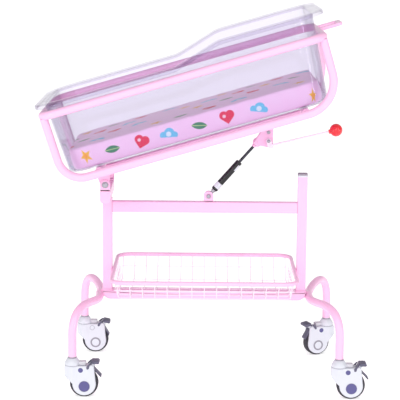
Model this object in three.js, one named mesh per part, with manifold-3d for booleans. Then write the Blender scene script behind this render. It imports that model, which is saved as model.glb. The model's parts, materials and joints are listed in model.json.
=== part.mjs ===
// Tilting hospital bassinet: a wheeled tube frame, a cot that tilts about its foot end
// on a locking gas spring, a clear lift-out tub with a mattress, and a wire basket below.
// Millimetres, +Z up, +X towards the head end, -Y towards the near side.
import * as THREE from "three";
import { mergeVertices } from "three/addons/utils/BufferGeometryUtils.js";
import Module from "manifold-3d";

const wasm = await Module();
wasm.setup();

// Clearances
const GAP = 0.3; // between pieces that are welded, bolted or rest on each other
const RUN_GAP = 0.5; // between pieces that turn or slide on each other
const SIDE_GAP = 1; // beside a wheel, an eye or an arm that turns between cheeks

// Stance
const WHEELBASE = 702; // caster stems, foot end to head end
const TRACK = 450; // caster stems, near side to far side

// Steel tube of the legs, the ring and the hoops
const TUBE_OD = 22;
const TUBE_SIDES = 10;

// Lower frame
const POST_SPAN = 531; // post centre to post centre
const POST_SHIFT = -5.5; // middle of the posts, from the middle of the casters
const POST_SIZE = 26; // square tube
const LOW_BEAM_Z = 215; // underside
const LOW_BEAM_HEIGHT = 23;
const LOW_BEAM_DEPTH = 48;
const LOW_BEAM_ROUND = 22; // lower corners
const HIGH_BEAM_Z = 455; // underside
const HIGH_BEAM_HEIGHT = 30;
const HIGH_BEAM_DEPTH = 25;

// Legs: a bow from the end of the low beam up over a shoulder and down to the caster
const LEG_ROOT_Z = 226;
const LEG_SHOULDER_IN_X = 71; // first control point, in from the stem
const LEG_SHOULDER_IN_Y = 129;
const LEG_SHOULDER_Z = 207;
const LEG_KNEE_Z = 282; // second control point, over the stem
const LEG_STRAIGHT_Z = 159; // below this the leg is straight
const LEG_STEPS = 10;

// Cot hinge
const HINGE_Z = 544;
const HINGE_SET_BACK = 1; // hinge axis behind the middle of the foot post
const TILT_DEG = 16.4; // head end up, as stored
const HINGE_BOLT_D = 8;
const HINGE_BOLT_HEAD_D = 14;
const HINGE_BOLT_HEAD = 5;
const HINGE_TUBE_LENGTH = 200; // across the frame
const HINGE_TUBE_WIDTH = 28;
const HINGE_TUBE_HEIGHT = 33;
const HINGE_TUBE_ROUND = 9; // lower edges
const LUG_WIDTH = 27;
const LUG_THICK = 5;
const LUG_TOP = 13; // above the hinge axis
const LUG_FOOT = 4; // thickness of the foot plate
const LUG_FOOT_DEPTH = 14;
const EAR_THICK = 5;
const EAR_ROUND = 12; // radius about the hinge axis
const EAR_TOP_BACK = 16; // top edge, foot side of the hinge axis
const EAR_TOP_FRONT = 26; // top edge, head side of the hinge axis

// Cot frame, in its own frame: origin on the hinge axis, X to the head, Z square to the tub
const RING_IN_FOOT = 16; // centre line inside the tub's rim, at the foot end
const RING_IN_HEAD = 18;
const RING_IN_SIDE = 17;
const RING_BELOW_RIM = 30; // centre line below the low part of the rim
const RING_CORNER = 38;
const HOOP_IN = 21; // hoops inside the ring's centre line
const HOOP_DROP = 3.2; // bottom rails below the cross tubes
const HOOP_BEND_FOOT = 62;
const HOOP_BEND_HEAD = 86;
const HOOP_TAPER_FOOT = 7.7; // each upright leans in by this towards the bottom rail
const HOOP_TAPER_HEAD = 2;
const HOOP_COPE = 4; // the uprights stop this far below the ring's centre line
const FOOT_CROSS_X = 5;
const HEAD_CROSS_X = 562;
const SPINE_WIDTH = 30;
const SPINE_HEIGHT = 18;
const SPINE_OVERHANG = 14; // past the cross tubes
const HANDLE_HALF_WIDTH = 54;
const HANDLE_REACH = 55; // out from the ring
const HANDLE_BAR = 14;
const HANDLE_THICK = 9;
const HANDLE_RISE = 7; // middle of the bar above the ring's centre line

// Tub
const TUB_FLOOR = 62; // underside of the tub's floor
const TUB_WALL = 4;
const TUB_RIM_FOOT = -111;
const TUB_RIM_HEAD = 674;
const TUB_RIM_HALF_WIDTH = 243;
const TUB_RIM_CORNER = 80;
const TUB_RIM_LEVEL = 260; // top of the low part
const TUB_RIM_RISE = 37; // head part above the low part
const TUB_RAMP_START = 256;
const TUB_RAMP_END = 405;
const TUB_RAMP_KNEE = 0.15; // share of the ramp in each rounded knee
const TUB_RAMP_STEPS = 8;
const TUB_FLANGE = 28; // rim beyond the wall
const TUB_LIP = 12; // turned-down edge
const TUB_TAPER_FOOT = 8; // wall, from rim to floor
const TUB_TAPER_HEAD = 17;
const TUB_TAPER_ACROSS = 24;
const TUB_FLOOR_ROUND = 15;

// Mattress
const MATTRESS_PLAY = 8; // round the mattress, inside the tub's floor
const MATTRESS_EDGE = 57; // thickness at the edge
const MATTRESS_CROWN = 4;
const MATTRESS_CORNER = 48;
const MATTRESS_DRAW_IN = 4; // sides between the corners
const MATTRESS_SIDE_BULGE = 3;

// Gas spring, from its lower pivot on the high beam to its upper pivot on the cot
const GAS_FOOT_X = 4.3;
const GAS_FOOT_RISE = 15.6; // lower pivot above the high beam
const GAS_HEAD_X = 420; // upper pivot in the cot's frame
const GAS_HEAD_LEVEL = -14;
const GAS_TUBE_OD = 18;
const GAS_BORE_D = 10;
const GAS_TUBE_START = 22; // from the lower pivot
const GAS_TUBE_END = 126;
const GAS_ROD_D = 8;
const GAS_STROKE = 54.2; // rod travel from tilted to level
const GAS_TAIL_ROOM = 2; // left below the rod when the cot is level
const GAS_BASE = 11; // solid base of the tube, below its bore
const GAS_PIN_D = 6;
const GAS_EYE_OD = 16;
const GAS_EYE_THICK = 8;
const GAS_HEAD_PLAY = 6; // radial play of the upper eye round its pin
const GAS_HEAD_EYE_OD = 25;
const GAS_LUG_OD = 26;
const GAS_LUG_THICK = 4;
const GAS_LUG_FOOT = 3;

// Lever bracket under the cot's spine, and the release lever
const BRACKET_THICK = 4;
const BRACKET_INSIDE = 14; // between its plates
const BRACKET_TIP = 9; // round about the upper gas pin
const BRACKET_FRONT = 475; // head end of the top edge
const BRACKET_TOP_LENGTH = 25;
const BRACKET_BOLT_BACK = 24.5; // lever pivot, back from the front
const BRACKET_BOLT_LEVEL = -17.3;
const BRACKET_TOE_BACK = 19; // lowest corner, back from the front
const BRACKET_TOE_LEVEL = -40;
const LEVER_BOLT_D = 6;
const LEVER_BOLT_HEAD_D = 11;
const LEVER_BOLT_HEAD = 4;
const LEVER_ROD_D = 6;
const LEVER_ARM = 8; // thickness of the flat arm
const LEVER_ARM_WIDTH = 14;
const LEVER_POST_ROOM = 3; // between the rod and the head post when the cot is level
const LEVER_LEVEL = -30; // where the rod leaves the arm
const KNOB_X = 633;
const KNOB_LEVEL = -38;
const KNOB_D = 35;
const KNOB_SOCKET = 9; // rod goes this far into the knob

// Rest pad on the head post
const PAD_HEIGHT = 4;
const PAD_GAP = 0.5; // under the spine when the cot is level

// Basket
const BASKET_RIM_D = 11;
const BASKET_RIM_Z = 297;
const BASKET_RIM_HALF_WIDTH = 190;
const BASKET_RIM_CORNER = 40;
const BASKET_FLOOR_HALF_WIDTH = 122;
const BASKET_FLOOR_IN = 16; // floor shorter than the rim at each end
const BASKET_WIRE = 3;
const BASKET_CROSS_COUNT = 15;
const BASKET_LONG_COUNT = 7;
const BASKET_FLOOR_SINK = 1; // cross wires into the long wires, where they are welded

// Casters
const WHEEL_D = 75;
const WHEEL_FACETS = 32;
const TYRE_WIDTH = 24;
const TYRE_DEPTH = 9;
const TYRE_CROWN = 3; // chamfer of the tread's edges
const HUB_BORE_D = 9;
const AXLE_D = 8;
const CASTER_TRAIL = 31;
const COVER_THICK = 5;
const COVER_LOBE_R = 31; // lower round of each cover
const COVER_LOBE_BACK = 0.5; // its centre behind the axle
const COVER_LOBE_DROP = 1; // its centre below the axle
const CASTER_TOP = 103.7;
const WHEEL_ROOM = 3; // round the tread, inside the hood
const STEM_D = 12;
const STEM_LENGTH = 16;
const DOME_FOOT_D = 41;
const DOME_TOP_D = 26;
const DOME_HEIGHT = 18.7;
const DOME_UPRIGHT = 6; // straight part of the dome, above the hood
const HOOD_BLOCK_START = 18; // block behind the dome, from the stem
const HOOD_BLOCK_END = 36;
const HOOD_BLOCK_WIDTH = 18;
const HOOD_BLOCK_HEIGHT = 10;
const PEDAL_PIVOT_X = 50;
const PEDAL_PIVOT_Z = 80;
const PEDAL_PIN_D = 5;
const PEDAL_EYE_D = 11;
const PEDAL_PAD_WIDTH = 34;
const PEDAL_PAD_START = 1; // sizes from here to the knee are from the pedal's pivot
const PEDAL_PAD_END = 22;
const PEDAL_PAD_TOP = 18;
const PEDAL_PAD_UNDER = 10;
const PEDAL_TAB_END = 27;
const PEDAL_TAB_DROP = 27;
const PEDAL_TAB_KNEE = 12; // where the tab bends round the tread
const PEDAL_TAB_THICK = 5;
const PEDAL_PRESS_DEG = 12;
const FAR_HEAD_TURN_DEG = 201; // the far head caster's swivel, from the others

// Colours
const PINK = 0xf9c4e4;
const CLEAR = 0xdcd8f0;
const MATTRESS_PINK = 0xf9b8f4;
const BLACK = 0x16161c;
const ROD_GREY = 0x4a4a50;
const STEEL = 0x8c8c96;
const RED = 0xe22840;
const WHITE = 0xf4f4f8;
const TYRE_GREY = 0x4a4854;
const PEDAL_GREY = 0x6c6a80;

// Worked out from the sizes above
const TUBE_R = TUBE_OD / 2;
const STEM_X = WHEELBASE / 2;
const STEM_Y = TRACK / 2;
const LEG_FOOT_Z = CASTER_TOP + GAP;
const FOOT_POST_X = POST_SHIFT - POST_SPAN / 2;
const HEAD_POST_X = POST_SHIFT + POST_SPAN / 2;
const HINGE_X = FOOT_POST_X - HINGE_SET_BACK;
const LOW_BEAM_TOP = LOW_BEAM_Z + LOW_BEAM_HEIGHT;
const HIGH_BEAM_TOP = HIGH_BEAM_Z + HIGH_BEAM_HEIGHT;
const TILT = THREE.MathUtils.degToRad(TILT_DEG);
const RING_FOOT = TUB_RIM_FOOT + RING_IN_FOOT;
const RING_HEAD = TUB_RIM_HEAD - RING_IN_HEAD;
const RING_HALF_WIDTH = TUB_RIM_HALF_WIDTH - RING_IN_SIDE;
const RING_LEVEL = TUB_RIM_LEVEL - RING_BELOW_RIM;
const HOOP_Y = RING_HALF_WIDTH - HOOP_IN;
const CROSS_LEVEL = TUB_FLOOR - GAP - TUBE_R;
const HOOP_LEVEL = CROSS_LEVEL - HOOP_DROP;
const MATTRESS_ENDS_IN = TUB_FLANGE + TUB_WALL + MATTRESS_PLAY;
const MATTRESS_FOOT = TUB_RIM_FOOT + TUB_TAPER_FOOT + MATTRESS_ENDS_IN;
const MATTRESS_HEAD = TUB_RIM_HEAD - TUB_TAPER_HEAD - MATTRESS_ENDS_IN;
const TUB_FLOOR_HALF_WIDTH = TUB_RIM_HALF_WIDTH - TUB_FLANGE - TUB_TAPER_ACROSS - TUB_WALL;
const MATTRESS_HALF_WIDTH = TUB_FLOOR_HALF_WIDTH - MATTRESS_PLAY;
const SPINE_TOP = CROSS_LEVEL - TUBE_R - GAP;
const SPINE_BOTTOM = SPINE_TOP - SPINE_HEIGHT;
const PAD_TOP = HINGE_Z + SPINE_BOTTOM - PAD_GAP;
const LUG_INNER_Y = HINGE_TUBE_LENGTH / 2 - LUG_THICK;
const LUG_FOOT_Z = HINGE_Z - EAR_ROUND - SIDE_GAP - LUG_FOOT;
const HINGE_TUBE_TOP = LUG_FOOT_Z - GAP;
const HINGE_TUBE_Z = HINGE_TUBE_TOP - HINGE_TUBE_HEIGHT;
const GAS_FOOT_Z = HIGH_BEAM_TOP + GAS_FOOT_RISE;
const BRACKET_BOLT_X = BRACKET_FRONT - BRACKET_BOLT_BACK;
const WHEEL_R = WHEEL_D / 2;
const HOOD_HALF_INSIDE = TYRE_WIDTH / 2 + SIDE_GAP;
const HOOD_HALF_WIDTH = HOOD_HALF_INSIDE + COVER_THICK;

// Geometry helpers

/** A box between two corners. */
function block(x0, x1, y0, y1, z0, z1) {
  const geometry = new THREE.BoxGeometry(x1 - x0, y1 - y0, z1 - z0);
  return geometry.translate((x0 + x1) / 2, (y0 + y1) / 2, (z0 + z1) / 2);
}

/** A round bar along Y, between y0 and y1. */
function barY(x, z, diameter, y0, y1, sides = 16) {
  const geometry = new THREE.CylinderGeometry(diameter / 2, diameter / 2, y1 - y0, sides);
  return geometry.translate(x, (y0 + y1) / 2, z);
}

/** A round bar along Z, between z0 and z1, tapered if two diameters are given. */
function barZ(x, y, z0, z1, diameter, topDiameter = diameter, sides = 16) {
  const geometry = new THREE.CylinderGeometry(topDiameter / 2, diameter / 2, z1 - z0, sides);
  return geometry.rotateX(Math.PI / 2).translate(x, y, (z0 + z1) / 2);
}

/** A flat plate: an outline in X and Z, carried along Y from y0 to y1. */
function plate(outline, y0, y1, curveSegments = 6) {
  const settings = { depth: y1 - y0, bevelEnabled: false, curveSegments };
  return new THREE.ExtrudeGeometry(outline, settings).rotateX(Math.PI / 2).translate(0, y1, 0);
}

/** An outline through points [x, z]. */
function outline(points) {
  return new THREE.Shape(points.map(([x, z]) => new THREE.Vector2(x, z)));
}

/** A polyline with each inner corner replaced by an arc of its own radius. */
function bent(corners, radii, steps, closed = false) {
  const points = [];
  const count = corners.length;
  corners.forEach((corner, i) => {
    if (!closed && (i === 0 || i === count - 1)) {
      points.push(corner.clone());
      return;
    }
    const back = corners[(i + count - 1) % count].clone().sub(corner).normalize();
    const on = corners[(i + 1) % count].clone().sub(corner).normalize();
    const half = back.angleTo(on) / 2;
    const radius = radii[i];
    const start = corner.clone().addScaledVector(back, radius / Math.tan(half));
    const axis = back.clone().cross(on).normalize();
    const middle = back.clone().add(on).normalize();
    const centre = corner.clone().addScaledVector(middle, radius / Math.sin(half));
    const turn = Math.PI - 2 * half;
    for (let k = 0; k <= steps; k += 1) {
      const spoke = start.clone().sub(centre).applyAxisAngle(axis, (-turn * k) / steps);
      points.push(centre.clone().add(spoke));
    }
  });
  return points;
}

/** A closed skin over rings of equal length, capped at both ends or joined end to end. */
function loft(rings, endless = false) {
  const size = rings[0].length;
  const positions = rings.flat().flatMap((p) => [p.x, p.y, p.z]);
  const index = [];
  const bands = endless ? rings.length : rings.length - 1;
  for (let i = 0; i < bands; i += 1) {
    const low = i * size;
    const high = ((i + 1) % rings.length) * size;
    for (let j = 0; j < size; j += 1) {
      const next = (j + 1) % size;
      index.push(low + j, low + next, high + next);
      index.push(low + j, high + next, high + j);
    }
  }
  if (!endless) {
    [rings[0], rings[rings.length - 1]].forEach((ring, end) => {
      const middle = positions.length / 3;
      const centre = ring.reduce((sum, p) => sum.add(p), new THREE.Vector3()).divideScalar(size);
      positions.push(centre.x, centre.y, centre.z);
      const first = end ? (rings.length - 1) * size : 0;
      for (let j = 0; j < size; j += 1) {
        const next = (j + 1) % size;
        const pair = end ? [first + j, first + next] : [first + next, first + j];
        index.push(middle, ...pair);
      }
    });
  }
  const geometry = new THREE.BufferGeometry();
  geometry.setAttribute("position", new THREE.Float32BufferAttribute(positions, 3));
  geometry.setIndex(index);
  return geometry;
}

/** A round rod along a run of points, each section square to the run. */
function rod(points, diameter, sides, closed = false) {
  const count = points.length;
  const along = points.map((p, i) => {
    const before = closed ? points[(i + count - 1) % count] : points[Math.max(i - 1, 0)];
    const after = closed ? points[(i + 1) % count] : points[Math.min(i + 1, count - 1)];
    return after.clone().sub(before).normalize();
  });
  const pole = Math.abs(along[0].z) < 0.9 ? new THREE.Vector3(0, 0, 1) : new THREE.Vector3(0, 1, 0);
  const side = pole.clone().cross(along[0]).normalize();
  const rings = points.map((p, i) => {
    if (i > 0) {
      side.applyQuaternion(new THREE.Quaternion().setFromUnitVectors(along[i - 1], along[i]));
    }
    const up = along[i].clone().cross(side);
    return Array.from({ length: sides }, (_, k) => {
      const angle = (2 * Math.PI * (k + 0.5)) / sides;
      const spoke = side.clone().multiplyScalar(Math.cos(angle)).addScaledVector(up, Math.sin(angle));
      return p.clone().addScaledVector(spoke, diameter / 2);
    });
  });
  return loft(rings, closed);
}

/** Plan outline of a rounded rectangle, seen anticlockwise from above, at a level that may vary along X. */
function planRing(x0, x1, halfWidth, corner, level, stations = [], cornerSteps = 5) {
  const ring = [];
  const push = (x, y) => ring.push(new THREE.Vector3(x, y, level(x)));
  const turns = [
    [x1 - corner, halfWidth - corner, 0],
    [x0 + corner, halfWidth - corner, 1],
    [x0 + corner, corner - halfWidth, 2],
    [x1 - corner, corner - halfWidth, 3],
  ];
  turns.forEach(([x, y, quarter]) => {
    for (let k = 0; k <= cornerSteps; k += 1) {
      const angle = (Math.PI / 2) * (quarter + k / cornerSteps);
      push(x + corner * Math.cos(angle), y + corner * Math.sin(angle));
    }
    if (quarter === 0) [...stations].reverse().forEach((x2) => push(x2, halfWidth));
    if (quarter === 2) stations.forEach((x2) => push(x2, -halfWidth));
  });
  return ring;
}

/** A closed geometry as a solid that can be joined and cut. */
function solid(geometry) {
  const loose = geometry.index ? geometry.toNonIndexed() : geometry;
  const bare = new THREE.BufferGeometry().setAttribute("position", loose.getAttribute("position"));
  const merged = mergeVertices(bare, 1e-4);
  const vertProperties = merged.attributes.position.array;
  const triVerts = new Uint32Array(merged.index.array);
  return new wasm.Manifold(new wasm.Mesh({ numProp: 3, vertProperties, triVerts }));
}

/** A solid back as a geometry. */
function skin(shape) {
  const mesh = shape.getMesh();
  const geometry = new THREE.BufferGeometry();
  geometry.setAttribute("position", new THREE.Float32BufferAttribute(mesh.vertProperties, 3));
  geometry.setIndex(Array.from(mesh.triVerts));
  return geometry;
}

/** Geometries joined into one body. */
function join(first, ...others) {
  return skin(others.reduce((sum, g) => sum.add(solid(g)), solid(first)));
}

/** A geometry with others cut away. */
function cut(first, ...tools) {
  return skin(tools.reduce((rest, g) => rest.subtract(solid(g)), solid(first)));
}

const at = (x, y, z) => new THREE.Vector3(x, y, z);

/** A named mesh with its own finish. */
function piece(name, geometry, color, roughness = 0.4, metalness = 0) {
  const material = new THREE.MeshStandardMaterial({ color, roughness, metalness });
  const mesh = new THREE.Mesh(geometry, material);
  mesh.name = name;
  return mesh;
}

// Lower frame

/**
 * One of four bows from the low beam's rounded end, over a shoulder and down to a caster, with a stem
 * in its foot. The near and far bows meet in the middle plane.
 */
function leg(endSign, sideSign) {
  const spot = (x, y, z) => at(endSign * x, sideSign * y, z);
  const beamEnd = POST_SPAN / 2 + endSign * POST_SHIFT + POST_SIZE / 2;
  const touch = LOW_BEAM_ROUND + TUBE_R + GAP;
  const below = LOW_BEAM_Z + LOW_BEAM_ROUND - LEG_ROOT_Z;
  const rootX = beamEnd - LOW_BEAM_ROUND + Math.sqrt(touch * touch - below * below);
  const bow = new THREE.CubicBezierCurve3(
    spot(rootX, 0, LEG_ROOT_Z),
    spot(STEM_X - LEG_SHOULDER_IN_X, STEM_Y - LEG_SHOULDER_IN_Y, LEG_SHOULDER_Z),
    spot(STEM_X, STEM_Y, LEG_KNEE_Z),
    spot(STEM_X, STEM_Y, LEG_STRAIGHT_Z),
  );
  const run = [...bow.getPoints(LEG_STEPS), spot(STEM_X, STEM_Y, LEG_FOOT_Z)];
  const [y0, y1] = sideSign < 0 ? [-GAP / 2, TUBE_OD] : [-TUBE_OD, GAP / 2];
  const otherSide = block(-WHEELBASE, WHEELBASE, y0, y1, 0, HINGE_Z);
  const stemTop = LEG_FOOT_Z + STEM_LENGTH;
  const stem = barZ(endSign * STEM_X, sideSign * STEM_Y, LEG_FOOT_Z - STEM_LENGTH, stemTop, STEM_D);
  return join(cut(rod(run, TUBE_OD, TUBE_SIDES), otherSide), stem);
}

/** Beam under both posts, with rounded lower corners. */
function lowBeam() {
  const overhang = POST_SIZE / 2;
  const [x0, x1] = [FOOT_POST_X - overhang, HEAD_POST_X + overhang];
  const round = LOW_BEAM_ROUND;
  const level = LOW_BEAM_Z + round;
  const shape = new THREE.Shape();
  shape.moveTo(x0, LOW_BEAM_TOP);
  shape.absarc(x0 + round, level, round, Math.PI, 1.5 * Math.PI);
  shape.absarc(x1 - round, level, round, 1.5 * Math.PI, 2 * Math.PI);
  shape.lineTo(x1, LOW_BEAM_TOP);
  return plate(shape, -LOW_BEAM_DEPTH / 2, LOW_BEAM_DEPTH / 2, 8);
}

function post(x, top) {
  const half = POST_SIZE / 2;
  return block(x - half, x + half, -half, half, LOW_BEAM_TOP + GAP, top);
}

function highBeam() {
  const inset = POST_SIZE / 2 + GAP;
  const half = HIGH_BEAM_DEPTH / 2;
  return block(FOOT_POST_X + inset, HEAD_POST_X - inset, -half, half, HIGH_BEAM_Z, HIGH_BEAM_TOP);
}

/** Tube across the top of the foot post, with rounded lower edges, which carries the hinge lugs. */
function hingeTube() {
  const half = HINGE_TUBE_WIDTH / 2;
  const round = HINGE_TUBE_ROUND;
  const level = HINGE_TUBE_Z + round;
  const shape = new THREE.Shape();
  shape.moveTo(HINGE_X - half, HINGE_TUBE_TOP);
  shape.lineTo(HINGE_X - half, level);
  shape.absarc(HINGE_X - half + round, level, round, Math.PI, 1.5 * Math.PI);
  shape.absarc(HINGE_X + half - round, level, round, 1.5 * Math.PI, 0);
  shape.lineTo(HINGE_X + half, HINGE_TUBE_TOP);
  return plate(shape, -HINGE_TUBE_LENGTH / 2, HINGE_TUBE_LENGTH / 2);
}

/** Angle bracket on the hinge tube: an upright with the bolt hole, and a foot turned inwards. */
function hingeLug(sideSign) {
  const half = LUG_WIDTH / 2;
  const outer = sideSign * (LUG_INNER_Y + LUG_THICK);
  const inner = sideSign * LUG_INNER_Y;
  const footEnd = sideSign * (LUG_INNER_Y - LUG_FOOT_DEPTH);
  const [y0, y1] = [Math.min(outer, inner), Math.max(outer, inner)];
  const [f0, f1] = [Math.min(outer, footEnd), Math.max(outer, footEnd)];
  const upright = block(HINGE_X - half, HINGE_X + half, y0, y1, LUG_FOOT_Z, HINGE_Z + LUG_TOP);
  const foot = block(HINGE_X - half, HINGE_X + half, f0, f1, LUG_FOOT_Z, LUG_FOOT_Z + LUG_FOOT);
  const hole = barY(HINGE_X, HINGE_Z, HINGE_BOLT_D + 2 * GAP, y0 - GAP, y1 + GAP);
  return cut(join(upright, foot), hole);
}

/** Shoulder bolt through a lug and an ear, with its head outside the lug. */
function hingeBolt(sideSign) {
  const seat = LUG_INNER_Y + LUG_THICK + GAP;
  const tip = LUG_INNER_Y - RUN_GAP - EAR_THICK - LUG_FOOT / 2;
  const ends = (a, b) => [Math.min(sideSign * a, sideSign * b), Math.max(sideSign * a, sideSign * b)];
  const shank = barY(HINGE_X, HINGE_Z, HINGE_BOLT_D, ...ends(tip, seat + HINGE_BOLT_HEAD / 2));
  const head = barY(HINGE_X, HINGE_Z, HINGE_BOLT_HEAD_D, ...ends(seat, seat + HINGE_BOLT_HEAD), 6);
  return join(shank, head);
}

/** Pad on the head post that the cot's spine settles on when the cot is level. */
function restPad() {
  const half = POST_SIZE / 2;
  return block(HEAD_POST_X - half, HEAD_POST_X + half, -half, half, PAD_TOP - PAD_HEIGHT, PAD_TOP);
}

/** Two round-topped cheeks on a foot, which hold the gas spring's lower pin. */
function gasClevis() {
  const round = GAS_LUG_OD / 2;
  const inside = GAS_EYE_THICK / 2 + SIDE_GAP;
  const outside = inside + GAS_LUG_THICK;
  const low = HIGH_BEAM_TOP + GAP;
  const shape = new THREE.Shape();
  shape.moveTo(GAS_FOOT_X - round, low);
  shape.lineTo(GAS_FOOT_X + round, low);
  shape.absarc(GAS_FOOT_X, GAS_FOOT_Z, round, 0, Math.PI);
  const reach = GAS_LUG_OD;
  const floor = low + GAS_LUG_FOOT;
  const room = block(GAS_FOOT_X - reach, GAS_FOOT_X + reach, -inside, inside, floor, HINGE_Z);
  const hole = barY(GAS_FOOT_X, GAS_FOOT_Z, GAS_PIN_D + 2 * GAP, -outside - GAP, outside + GAP);
  return cut(plate(shape, -outside, outside), room, hole);
}

function gasFootPin() {
  const outside = GAS_EYE_THICK / 2 + SIDE_GAP + GAS_LUG_THICK;
  const cap = GAS_PIN_D / 2;
  const shank = barY(GAS_FOOT_X, GAS_FOOT_Z, GAS_PIN_D, -outside - cap, outside + cap);
  const head = barY(GAS_FOOT_X, GAS_FOOT_Z, 2 * GAS_PIN_D, -outside - GAP - cap, -outside - GAP);
  return join(shank, head);
}

// Basket

const RIM_R = BASKET_RIM_D / 2;
const RIM_HALF_LENGTH = POST_SPAN / 2 - POST_SIZE / 2 - GAP - RIM_R;
const FLOOR_HALF_LENGTH = RIM_HALF_LENGTH - BASKET_FLOOR_IN;
const FLOOR_WIRE_Z = LOW_BEAM_TOP + GAP + BASKET_WIRE / 2;
const CROSS_WIRE_Z = FLOOR_WIRE_Z + BASKET_WIRE - BASKET_FLOOR_SINK;

/** A square-sectioned wire between two points. */
function wire(a, b) {
  return rod([a, b], BASKET_WIRE * Math.SQRT2, 4);
}

/** Evenly spread values from low to high. */
function spread(low, high, count) {
  return Array.from({ length: count }, (_, i) => low + ((high - low) * i) / (count - 1));
}

function basketRim() {
  const [a, b] = [POST_SHIFT - RIM_HALF_LENGTH, POST_SHIFT + RIM_HALF_LENGTH];
  const w = BASKET_RIM_HALF_WIDTH;
  const z = BASKET_RIM_Z;
  const corners = [at(a, -w, z), at(b, -w, z), at(b, w, z), at(a, w, z)];
  const run = bent(corners, corners.map(() => BASKET_RIM_CORNER), 5, true);
  return rod(run, BASKET_RIM_D, 8, true);
}

/** Wire floor: long wires along X with cross wires welded on top of them. */
function basketFloor() {
  const [a, b] = [POST_SHIFT - FLOOR_HALF_LENGTH, POST_SHIFT + FLOOR_HALF_LENGTH];
  const w = BASKET_FLOOR_HALF_WIDTH;
  const half = BASKET_WIRE / 2;
  const long = spread(-w, w, BASKET_LONG_COUNT).map((y) =>
    wire(at(a - half, y, FLOOR_WIRE_Z), at(b + half, y, FLOOR_WIRE_Z)),
  );
  const cross = spread(a, b, BASKET_CROSS_COUNT).map((x) =>
    wire(at(x, -w - half, CROSS_WIRE_Z), at(x, w + half, CROSS_WIRE_Z)),
  );
  return join(...long, ...cross);
}

/** A leaning wire wall from the floor's edge up to the rim, with one wire along its middle. */
function basketWall(feet, heads, railStart, railEnd) {
  const uprights = feet.map((foot, i) => wire(foot, heads[i]));
  return join(wire(railStart, railEnd), ...uprights);
}

/** Levels of a wall's ends, and how far it leans out, on the line from the floor's edge to the rim. */
function wallRun(rimOut) {
  const lean = Math.atan2(rimOut, BASKET_RIM_Z - CROSS_WIRE_Z);
  const foot = CROSS_WIRE_Z + (BASKET_WIRE / 2) * (1 + Math.sin(lean)) + GAP;
  const share = 1 - (RIM_R + GAP) / Math.hypot(rimOut, BASKET_RIM_Z - foot);
  return { foot, head: foot + share * (BASKET_RIM_Z - foot), out: share * rimOut };
}

function basketSideWall(sideSign) {
  const [a, b] = [POST_SHIFT - FLOOR_HALF_LENGTH, POST_SHIFT + FLOOR_HALF_LENGTH];
  const inset = BASKET_RIM_CORNER - BASKET_FLOOR_IN;
  const xs = spread(a + inset, b - inset, BASKET_CROSS_COUNT - 2);
  const { foot, head, out } = wallRun(BASKET_RIM_HALF_WIDTH - BASKET_FLOOR_HALF_WIDTH);
  const y = (share) => sideSign * (BASKET_FLOOR_HALF_WIDTH + out * share);
  const feet = xs.map((x) => at(x, y(0), foot));
  const heads = xs.map((x) => at(x, y(1), head));
  const middle = (foot + head) / 2;
  return basketWall(feet, heads, at(xs[0], y(0.5), middle), at(xs[xs.length - 1], y(0.5), middle));
}

function basketEndWall(endSign) {
  const w = BASKET_FLOOR_HALF_WIDTH - 2 * BASKET_WIRE;
  const ys = spread(-w, w, BASKET_LONG_COUNT);
  const { foot, head, out } = wallRun(BASKET_FLOOR_IN);
  const x = (share) => POST_SHIFT + endSign * (FLOOR_HALF_LENGTH + out * share);
  const feet = ys.map((y) => at(x(0), y, foot));
  const heads = ys.map((y) => at(x(1), y, head));
  const middle = (foot + head) / 2;
  return basketWall(feet, heads, at(x(0.5), -w, middle), at(x(0.5), w, middle));
}

// Cot frame, in the cot's own frame

const RING_CORNERS = [
  at(RING_FOOT, -RING_HALF_WIDTH, RING_LEVEL),
  at(RING_HEAD, -RING_HALF_WIDTH, RING_LEVEL),
  at(RING_HEAD, RING_HALF_WIDTH, RING_LEVEL),
  at(RING_FOOT, RING_HALF_WIDTH, RING_LEVEL),
];

function ring(growth = 0) {
  const run = bent(RING_CORNERS, RING_CORNERS.map(() => RING_CORNER), 5, true);
  return rod(run, TUBE_OD + 2 * growth, TUBE_SIDES, true);
}

/** U-shaped hoop under one side of the ring, its uprights coped to the ring. */
function hoop(sideSign) {
  const y = sideSign * HOOP_Y;
  const top = RING_LEVEL - HOOP_COPE;
  const inset = HOOP_COPE / 2;
  const run = bent(
    [
      at(RING_FOOT + inset, y, top),
      at(RING_FOOT + HOOP_TAPER_FOOT, y, HOOP_LEVEL),
      at(RING_HEAD - HOOP_TAPER_HEAD, y, HOOP_LEVEL),
      at(RING_HEAD - inset, y, top),
    ],
    [0, HOOP_BEND_FOOT, HOOP_BEND_HEAD, 0],
    5,
  );
  return cut(rod(run, TUBE_OD, TUBE_SIDES), ring(GAP));
}

/** Tube across the cot between the two hoops' bottom rails, under the tub. */
function crossTube(x) {
  const half = HOOP_Y - TUBE_R - GAP;
  return rod([at(x, -half, CROSS_LEVEL), at(x, half, CROSS_LEVEL)], TUBE_OD, TUBE_SIDES);
}

/** Flat bar under the cross tubes: it settles on the rest pad and carries the lever bracket. */
function spine() {
  const half = SPINE_WIDTH / 2;
  const [a, b] = [FOOT_CROSS_X - SPINE_OVERHANG, HEAD_CROSS_X + SPINE_OVERHANG];
  return block(a, b, -half, half, SPINE_BOTTOM, SPINE_TOP);
}

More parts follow.
